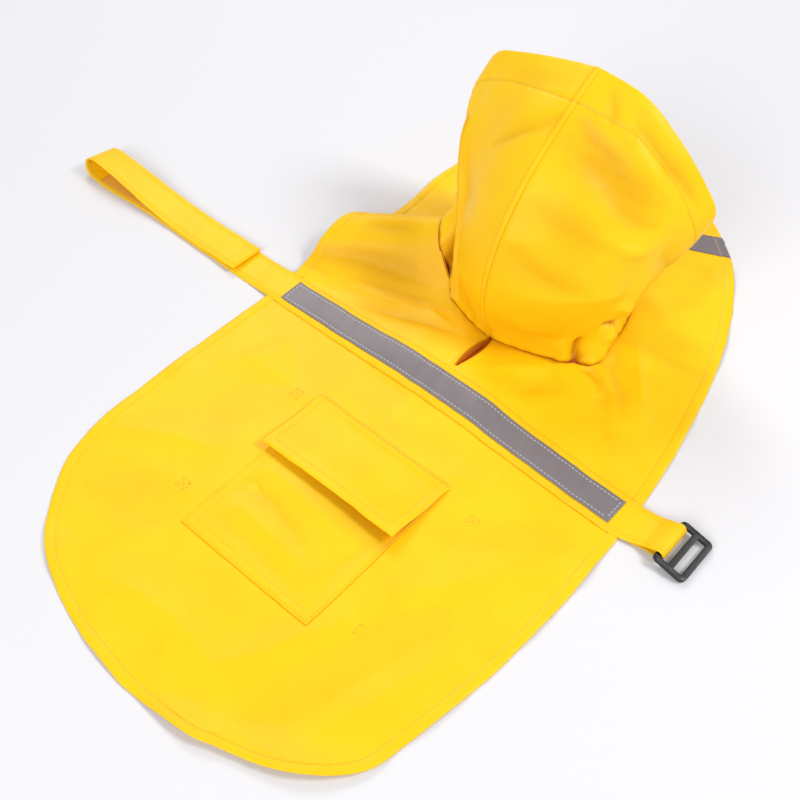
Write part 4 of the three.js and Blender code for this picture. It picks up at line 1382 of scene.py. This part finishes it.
@dataclass
class BellyStrap:
    """The belly strap: folded back at its left end, laid across the cape, sewn round the buckle's bar."""

    form: CapeForm
    line: Table = (
        (-470, 235, 34), (-200, 233.5, 36), (0, 236, 38), (190, 231, 38), (225, 233.5, 33), (270, 233.5, 33),
    )
    fold: Table = (
        (-232, 7.0), (-262, 5.2), (-300, 4.4), (-326, 5.2), (-352, 8.6), (-382, 15.2), (-410, 21), (-430, 22.8),
        (-444, 20), (-450, 12.6), (-447, 5.2), (-437, 1), (-400, 0), (-330, 0), (-225, 0), (-207, 0.6),
        (-194, 1.7),
    )
    fold_sag: float = 0.45
    fold_floor: float = 4.3
    fold_bow: float = 4.5
    laid: tuple[float, float] = (-188.0, 200.0)
    bar: tuple[float, float] = (235.0, 8.5)
    wrap: float = 3.6
    run_out: Table = ((205, 2.1), (211, 2.7), (220, 4.6), (229, 9))
    run_back: Table = ((229, 3.9), (220, 2.9), (211, 2.3))
    tape: tuple[float, float] = (-174.0, 189.0)
    tape_width: float = 25.0
    pile: tuple[float, float] = (-428.0, -345.0)
    # rows that are stitched across: from the folded end, and from where the strap leaves the cape
    end_row: int = 3
    buckle_row: int = 11

    def value(self, x: Array, column: int) -> Array:
        """Middle (1) or width (2) of the strap at distances across the coat."""
        table = np.array(self.line)
        k = np.clip(np.searchsorted(table[:, 0], x) - 1, 0, len(table) - 2)
        t = (x - table[k, 0]) / (table[k + 1, 0] - table[k, 0])
        t = t * t * (3 - 2 * t)
        return table[k, column] + (table[k + 1, column] - table[k, column]) * t

    def path(self) -> tuple[Array, Array]:
        """The strap's lower face along its whole length.

        Returns:
            Rows of distance across and height, and the kind of each row: 0 fold, 1 laid, 2 at the buckle.
        """
        fold = smooth(self.fold, 110)
        fold[:, 1] = np.maximum(fold[:, 1], 0)
        xs = np.arange(self.laid[0], self.laid[1] + 0.1, 3.0)
        laid = np.column_stack([xs, np.zeros(len(xs))])
        out = smooth(self.run_out, 16)
        turn = np.linspace(math.pi / 2, -math.pi / 2, 14)
        round_bar = np.column_stack([self.bar[0] + self.wrap * np.cos(turn), self.bar[1] + self.wrap * np.sin(turn)])
        back = smooth(self.run_back, 8)
        counts = (len(fold), len(laid), len(out) + len(round_bar) + len(back))
        return np.vstack([fold, laid, out, round_bar, back]), np.repeat([0.0, 1.0, 2.0], counts)

    def surface(self, rows: Array, kind: Array, offsets: Array, lift: float | Array) -> tuple[Array, Array]:
        """Points of a band on the strap.

        Args:
            rows: distance across and height of each row.
            kind: the kind of each row.
            offsets: distances from the strap's middle, one list for all rows or one for each.
            lift: how far the points stand out from the strap's lower face.

        Returns:
            Points and normals, row by row.
        """
        lines = np.broadcast_to(offsets, (len(rows), offsets.shape[-1]))
        x = np.broadcast_to(rows[:, :1], lines.shape)
        bow = self.fold_bow * bell((x + 422) / 85) * (1 - ease(rows[:, 1:], 1, 15))
        y = self.value(x, 1) + lines + 0.35 * ripple(x, 60, 17) - bow * (kind[:, None] == 0)
        width = self.value(x, 2)
        share = 0.5 + lines / width
        sag = np.where(kind[:, None] == 0, self.fold_sag * share * np.maximum(rows[:, 1:] - self.fold_floor, 0), 0)
        z = np.where(kind[:, None] == 1, self.form.top(x, y) + GAP + 0.25 * ripple(x, 33, 4), rows[:, 1:] - sag)
        points = np.dstack([x, y, z])
        along = np.gradient(points, axis=0)
        flat = along * np.array([1, 0, 1])
        normal = np.dstack([-flat[..., 2], np.zeros(x.shape), flat[..., 0]])
        normal /= np.maximum(np.linalg.norm(normal, axis=2, keepdims=True), 1e-9)
        return points + normal * np.broadcast_to(lift, x.shape)[..., None], normal

    def build(self, wardrobe: Wardrobe, sewing: Sewing) -> None:
        """Builds and sews the strap."""
        rows, kind = self.path()
        half = self.value(rows[:, 0], 2) / 2
        shares = mirrored((1, 0.985, 0.95, 0.91, 0.875, 0.843, 0.81, 0.762, 0.715, 0.681, 0.645, 0.58, 0.4, 0.15))
        edge = (1 - np.abs(shares)) * 18.5
        middle, normal = self.surface(rows, kind, half[:, None] * shares, 1.0 - 0.6 * (1 - ease(edge, 0, 1.6)))
        depth = 0.16 + 0.8 * ease(edge, -0.2, 1.6) - 0.42 * bell((edge - 2.9) / 0.9) - 0.36 * bell((edge - 5.9) / 0.9)
        depth = depth + 0.2 * bell((edge - 4.4) / 1.1)
        run = arc(middle[:, len(shares) // 2])
        hemmed = 1 + 0.45 * (1 - ease(run, 7.5, 9.5)) * (0.55 + 0.45 * ease(run, 0, 1.2))
        wall = hemmed[:, None] * depth
        made = closed_band("belly_strap_cloth", middle, normal, wall)
        plan = np.dstack([np.broadcast_to(run[:, None], middle.shape[:2]), half[:, None] * shares])
        add_uv(made, both_faces(plan))
        add_painted_shade(made, np.zeros(len(made.data.vertices)))
        finish_piece(made, wardrobe.cloth, "coated_cloth", "belly_strap")
        top = middle + normal * wall[..., None]
        low = middle - normal * wall[..., None]
        folded = kind == 0
        lines = []
        for share in (-0.843, -0.681, 0.843):
            column = int(np.abs(shares - share).argmin())
            lines.append((top[:, column], normal[:, column]))
            lines.append((low[folded][:, column], -normal[folded][:, column]))
        lines.append((low[self.end_row, 3:-3], -normal[self.end_row, 3:-3]))
        across = np.where(kind == 2)[0][self.buckle_row]
        lines.append((top[across, 2:-2], normal[across, 2:-2]))
        sewing.sew("strap_stitches", lines, wardrobe.thread, "coated_cloth")
        self.build_tape(wardrobe, sewing)
        self.build_pile(wardrobe)

    def build_tape(self, wardrobe: Wardrobe, sewing: Sewing) -> None:
        """Builds the reflective tape on the strap, stitched near its edges."""
        xs = np.arange(self.tape[0], self.tape[1] + 0.1, 1.5)
        rows = np.column_stack([xs, np.zeros(len(xs))])
        kind = np.ones(len(xs))
        shares = mirrored((1, 0.96, 0.9, 0.84, 0.76, 0.68, 0.5, 0.25))
        offsets = shares * self.tape_width / 2
        points, normal = self.surface(rows, kind, offsets, DOUBLE + 0.45)
        x, y = points[..., 0], points[..., 1]
        edge = (1 - np.abs(shares)) * self.tape_width / 2
        broad = 0.2 * ripple(x + 0.3 * y, 11, 23) * (1 - bell(edge / 3))
        pucker = broad + 0.12 * ripple(x, 7, 24) * bell((edge - 2) / 3)
        fold = Crease((118, 226), (126, 236), (136, 246), 2.6, -0.7).at(x, y)
        fold += Crease((124, 228), (131, 236), (141, 246), 2.4, 0.5).at(x, y)
        groove = -0.15 * bell((edge - 3.0) / 1.4)
        points = points + normal * (pucker + fold + groove)[..., None]
        half = np.broadcast_to(0.12 + 0.1 * ease(edge, 0, 0.5), x.shape)
        made = closed_band("strap_tape_face", points, normal, half)
        add_uv(made, both_faces(np.dstack([x, y])))
        finish_piece(made, wardrobe.tape, "reflective_tape", "strap_tape")
        top = points + normal * half[..., None]
        near, row = 4, 2  # the column and the row that the stitches run in
        far = len(shares) - 1 - near
        lines = [
            (top[row:-row, near], normal[row:-row, near]),
            (top[row:-row, far], normal[row:-row, far]),
            (top[row, near : far + 1], normal[row, near : far + 1]),
            (top[-1 - row, near : far + 1], normal[-1 - row, near : far + 1]),
        ]
        thick = Sewing(pitch=3.6, length=2.7, radius=0.42)
        thick.sew("tape_stitches", lines, wardrobe.pale_thread, "reflective_tape")

    def build_pile(self, wardrobe: Wardrobe) -> None:
        """Builds the soft half of the fastener, a thin felt inside the fold."""
        rows, kind = self.path()
        folded = int((kind == 0).sum())
        inside = np.zeros(len(rows), bool)
        inside[int(rows[:folded, 0].argmin()) : folded] = True
        keep = inside & (rows[:, 0] > self.pile[0]) & (rows[:, 0] < self.pile[1])
        offsets = np.linspace(15.5, -15.5, 15)
        points, normal = self.surface(rows[keep], kind[keep], offsets, DOUBLE + 0.7)
        rough = 0.12 * ripple(points[..., 0] * 3 + points[..., 1] * 2, 3, 77)
        half = np.broadcast_to(0.5 - 0.3 * bell((15.5 - np.abs(offsets)) / 1.2), points.shape[:2])
        made = closed_band("strap_fastener_pile", points + normal * rough[..., None], normal, half)
        add_uv(made, both_faces(points[..., :2]))
        finish_piece(made, wardrobe.pile, "loop_pile", "strap_fastener")


# The chest tape and small sewn marks


@dataclass
class ChestTape:
    """Reflective tape across the right chest flap, caught in the hem."""

    form: CapeForm
    cape: Cape
    x: float = 93.0
    y: float = 548.0
    length: float = 92.0
    past: float = 15.0
    angle: float = math.pi + 0.42
    width: float = 25.0
    from_hem: tuple[float, ...] = (0.1, 0.6, 1.6, 3.2, 5.2, 7.2, 8.3, 9.2, 10.1, 11.4)

    def build(self, wardrobe: Wardrobe, sewing: Sewing) -> None:
        """Builds the tape and the hem's stitches over it."""
        ahead = np.array([math.cos(self.angle), math.sin(self.angle)])
        side = np.array([-ahead[1], ahead[0]])
        hem = smooth(self.cape.hem_right, 1400)
        shares = np.linspace(1, -1, 17)
        columns, awayness = [], []
        start = np.array([self.x, self.y])
        for share in shares:
            origin = start + side * share * self.width / 2
            offsets = (hem - origin) @ np.array([side, ahead]).T
            near = np.abs(offsets[:, 0]) < 1.2
            edge = offsets[near, 1][np.abs(offsets[near, 1]).argmin()]
            runs = np.concatenate([edge + np.array(self.from_hem), np.linspace(edge + self.past, self.length, 30)])
            columns.append(origin + runs[:, None] * ahead)
            awayness.append(runs - edge)
        plan = np.array(columns).transpose(1, 0, 2)
        away = np.array(awayness).T
        x, y = plan[..., 0], plan[..., 1]
        profile = self.cape.hem_profile(away, x * 0) + self.cape.lift(x, y, away)
        grid = np.dstack([x, y, self.form.top(x, y, True) + profile + 0.35])
        normal = normals_of(grid)
        normal = np.where(normal[..., 2:] < 0, -normal, normal)
        made = closed_band("chest_tape_face", grid, normal, np.full(x.shape, 0.2))
        add_uv(made, both_faces(plan))
        finish_piece(made, wardrobe.tape, "reflective_tape", "chest_tape")
        line = grid[7] + normal[7] * 0.2
        sewing.sew("chest_tape_stitches", [(line, normal[7])], wardrobe.thread, "reflective_tape")


@dataclass
class BarTacks:
    """Small box stitches on the back, which hold the leg loops' ends."""

    form: CapeForm
    places: Table = ((-84, 151), (-86, 25), (109, 24), (109, 151))
    size: float = 9.0

    def build(self, wardrobe: Wardrobe) -> None:
        """Sews each box with its cross."""
        fine = Sewing(pitch=2.3, length=1.8, radius=0.26)
        half = self.size / 2
        corners = np.array([(-1, -1), (1, -1), (1, 1), (-1, 1), (-1, -1), (1, 1), (1, -1), (-1, 1)]) * half
        lines = []
        for x, y in self.places:
            line = resample(corners + np.array([x, y]), 120)
            height = self.form.top(line[:, 0], line[:, 1])
            lines.append((np.column_stack([line, height]), np.tile([0, 0, 1.0], (len(line), 1))))
        fine.sew("bar_tacks", lines, wardrobe.tack_thread, "coated_cloth")


# The slide buckle


@dataclass
class SlideBuckle:
    """Tri-glide: a moulded plate with three bars and two slots, shaped from a plate of grid cells."""

    length: float = 30.0
    width: float = 44.0
    thick: float = 4.0
    wall: float = 4.5
    bar: float = 5.0
    corner: float = 5.0
    edge: float = 0.7
    bar_x: float = 235.0
    bar_y: float = 233.5
    bar_z: float = 8.5
    tilt: float = 0.24

    def build(self, wardrobe: Wardrobe) -> None:
        """Models the buckle and lays it on its bar."""
        slot = (self.length - 3 * self.bar) / 2
        x_lines = np.cumsum([0, self.bar, slot, self.bar, slot, self.bar]) - self.bar / 2
        half = self.width / 2
        y_lines = np.array([-half, -half + self.wall, half - self.wall, half])
        bpy.ops.object.select_all(action="DESELECT")
        bpy.ops.mesh.primitive_grid_add(x_subdivisions=5, y_subdivisions=3, size=2 * MM)
        plate = bpy.context.object
        plate.name = "slide_buckle_moulding"
        mesh = plate.data
        bpy.ops.object.mode_set(mode="EDIT")
        bpy.ops.mesh.select_mode(type="FACE")
        bpy.ops.mesh.select_all(action="DESELECT")
        bpy.ops.object.mode_set(mode="OBJECT")
        for v in mesh.vertices:
            i = round((v.co.x / MM + 1) / 2 * 5)
            j = round((v.co.y / MM + 1) / 2 * 3)
            v.co = (x_lines[i] * MM, y_lines[j] * MM, 0)
        holes = ((x_lines[1] + x_lines[2]) / 2, (x_lines[3] + x_lines[4]) / 2)
        for face in mesh.polygons:
            cx, cy = face.center.x / MM, face.center.y / MM
            face.select = abs(cy) < 1 and any(abs(cx - h) < 1 for h in holes)
        bpy.ops.object.mode_set(mode="EDIT")
        bpy.ops.mesh.delete(type="FACE")
        bpy.ops.mesh.select_all(action="SELECT")
        bpy.ops.mesh.extrude_region_move(TRANSFORM_OT_translate={"value": (0, 0, self.thick * MM)})
        bpy.ops.mesh.select_all(action="SELECT")
        bpy.ops.mesh.normals_make_consistent(inside=False)
        bpy.ops.mesh.select_all(action="DESELECT")
        bpy.ops.object.mode_set(mode="OBJECT")
        x_end = (x_lines[0], x_lines[-1])
        for e in mesh.edges:
            a, b = (mesh.vertices[k].co / MM for k in e.vertices)
            upright = abs(a.z - b.z) > 1
            at_corner = any(abs(a.x - x) < 0.01 for x in x_end) and abs(abs(a.y) - half) < 0.01
            e.select = upright and at_corner
        bpy.ops.object.mode_set(mode="EDIT")
        bpy.ops.mesh.select_mode(type="EDGE")
        bpy.ops.mesh.bevel(offset=self.corner * MM, segments=6, affect="EDGES")
        bpy.ops.mesh.select_all(action="DESELECT")
        bpy.ops.object.mode_set(mode="OBJECT")
        apply_modifier(
            plate, "BEVEL", width=self.edge * MM, segments=3, limit_method="ANGLE", angle_limit=math.radians(40)
        )
        only(plate)
        bpy.ops.object.shade_smooth_by_angle(angle=math.radians(35))
        place = Matrix.Translation((self.bar_x * MM, self.bar_y * MM, self.bar_z * MM))
        turn = Matrix.Rotation(self.tilt, 4, "Y")
        mesh.transform(place @ turn @ Matrix.Translation((0, 0, -self.thick / 2 * MM)))
        finish_piece(plate, wardrobe.plastic, "buckle_plastic", "slide_buckle")


# Floor, light and camera


@dataclass
class Studio:
    """Pale floor, soft light and the camera at the photo's place."""

    eye: tuple[float, float, float] = (385.1, -244.3, 740.8)
    right: tuple[float, float, float] = (0.7472, 0.6646, 0.0)
    up: tuple[float, float, float] = (-0.5159, 0.5800, 0.6303)
    ahead: tuple[float, float, float] = (-0.4189, 0.4710, -0.7763)
    lens: float = 50.64
    # name, place, size, power in watts, colour
    lamps: tuple[tuple[str, tuple[float, float, float], float, float, str], ...] = (
        ("softbox_left", (-1.3, 1.2, 1.5), 0.7, 14.5, "#FFFCF6"),
        ("softbox_right", (1.25, 0.95, 1.6), 0.6, 22.0, "#FFFDFA"),
        ("softbox_front", (0.15, -1.7, 1.35), 1.2, 26.0, "#FFFDFA"),
    )
    middle: tuple[float, float, float] = (0.0, 0.22, 0.03)
    sky: float = 0.5

    def build_floor(self) -> None:
        """Lays the paper."""
        bpy.ops.object.select_all(action="DESELECT")
        bpy.ops.mesh.primitive_plane_add(size=40, location=(0, 0.2, -0.0002))
        floor = bpy.context.object
        floor.name = "studio_floor"
        bpy.ops.object.transform_apply(location=True, rotation=False, scale=False)
        floor.data.materials.append(StudioPaper().build())

    def build_light(self) -> None:
        """Hangs the softboxes and sets the sky."""
        for name, place, size, power, colour in self.lamps:
            lamp = bpy.data.lights.new(name, "AREA")
            lamp.shape = "SQUARE"
            lamp.size = size
            lamp.energy = power
            lamp.color = linear(colour)[:3]
            made = bpy.data.objects.new(name, lamp)
            bpy.context.collection.objects.link(made)
            made.location = place
            away = Vector(place) - Vector(self.middle)
            made.rotation_euler = away.to_track_quat("Z", "Y").to_euler()
        world = bpy.data.worlds.new("soft_sky")
        world.use_nodes = True
        sky = world.node_tree.nodes["Background"]
        sky.inputs["Color"].default_value = linear("#F4F6FF")
        sky.inputs["Strength"].default_value = self.sky
        bpy.context.scene.world = world

    def build_camera(self) -> None:
        """Sets the camera at the photo's place and angle."""
        lens = bpy.data.cameras.new("photo_camera")
        lens.lens = self.lens
        lens.sensor_width = 36.0
        camera = bpy.data.objects.new("photo_camera", lens)
        bpy.context.collection.objects.link(camera)
        back = [-a for a in self.ahead]
        turn = Matrix([[self.right[k], self.up[k], back[k], self.eye[k] * MM] for k in range(3)] + [[0, 0, 0, 1]])
        camera.matrix_world = turn
        bpy.context.scene.camera = camera
        bpy.context.scene.view_settings.view_transform = "Standard"


def main() -> None:
    """Builds the coat piece by piece."""
    logging.basicConfig(level=logging.INFO, format="%(name)s %(message)s")
    studio = Studio()
    studio.build_camera()
    wardrobe = Wardrobe()
    sewing = Sewing()
    form = CapeForm()
    cape = Cape(form)
    pocket = Pocket(form)
    cape.build(wardrobe, sewing)
    Hood(form, cape).build(wardrobe, sewing)
    pocket.build(wardrobe, sewing)
    PocketFlap(form, pocket).build(wardrobe, sewing)
    BellyStrap(form).build(wardrobe, sewing)
    ChestTape(form, cape).build(wardrobe, sewing)
    BarTacks(form).build(wardrobe)
    SlideBuckle().build(wardrobe)
    studio.build_floor()
    studio.build_light()


if __name__ == "__main__":
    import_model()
    main()
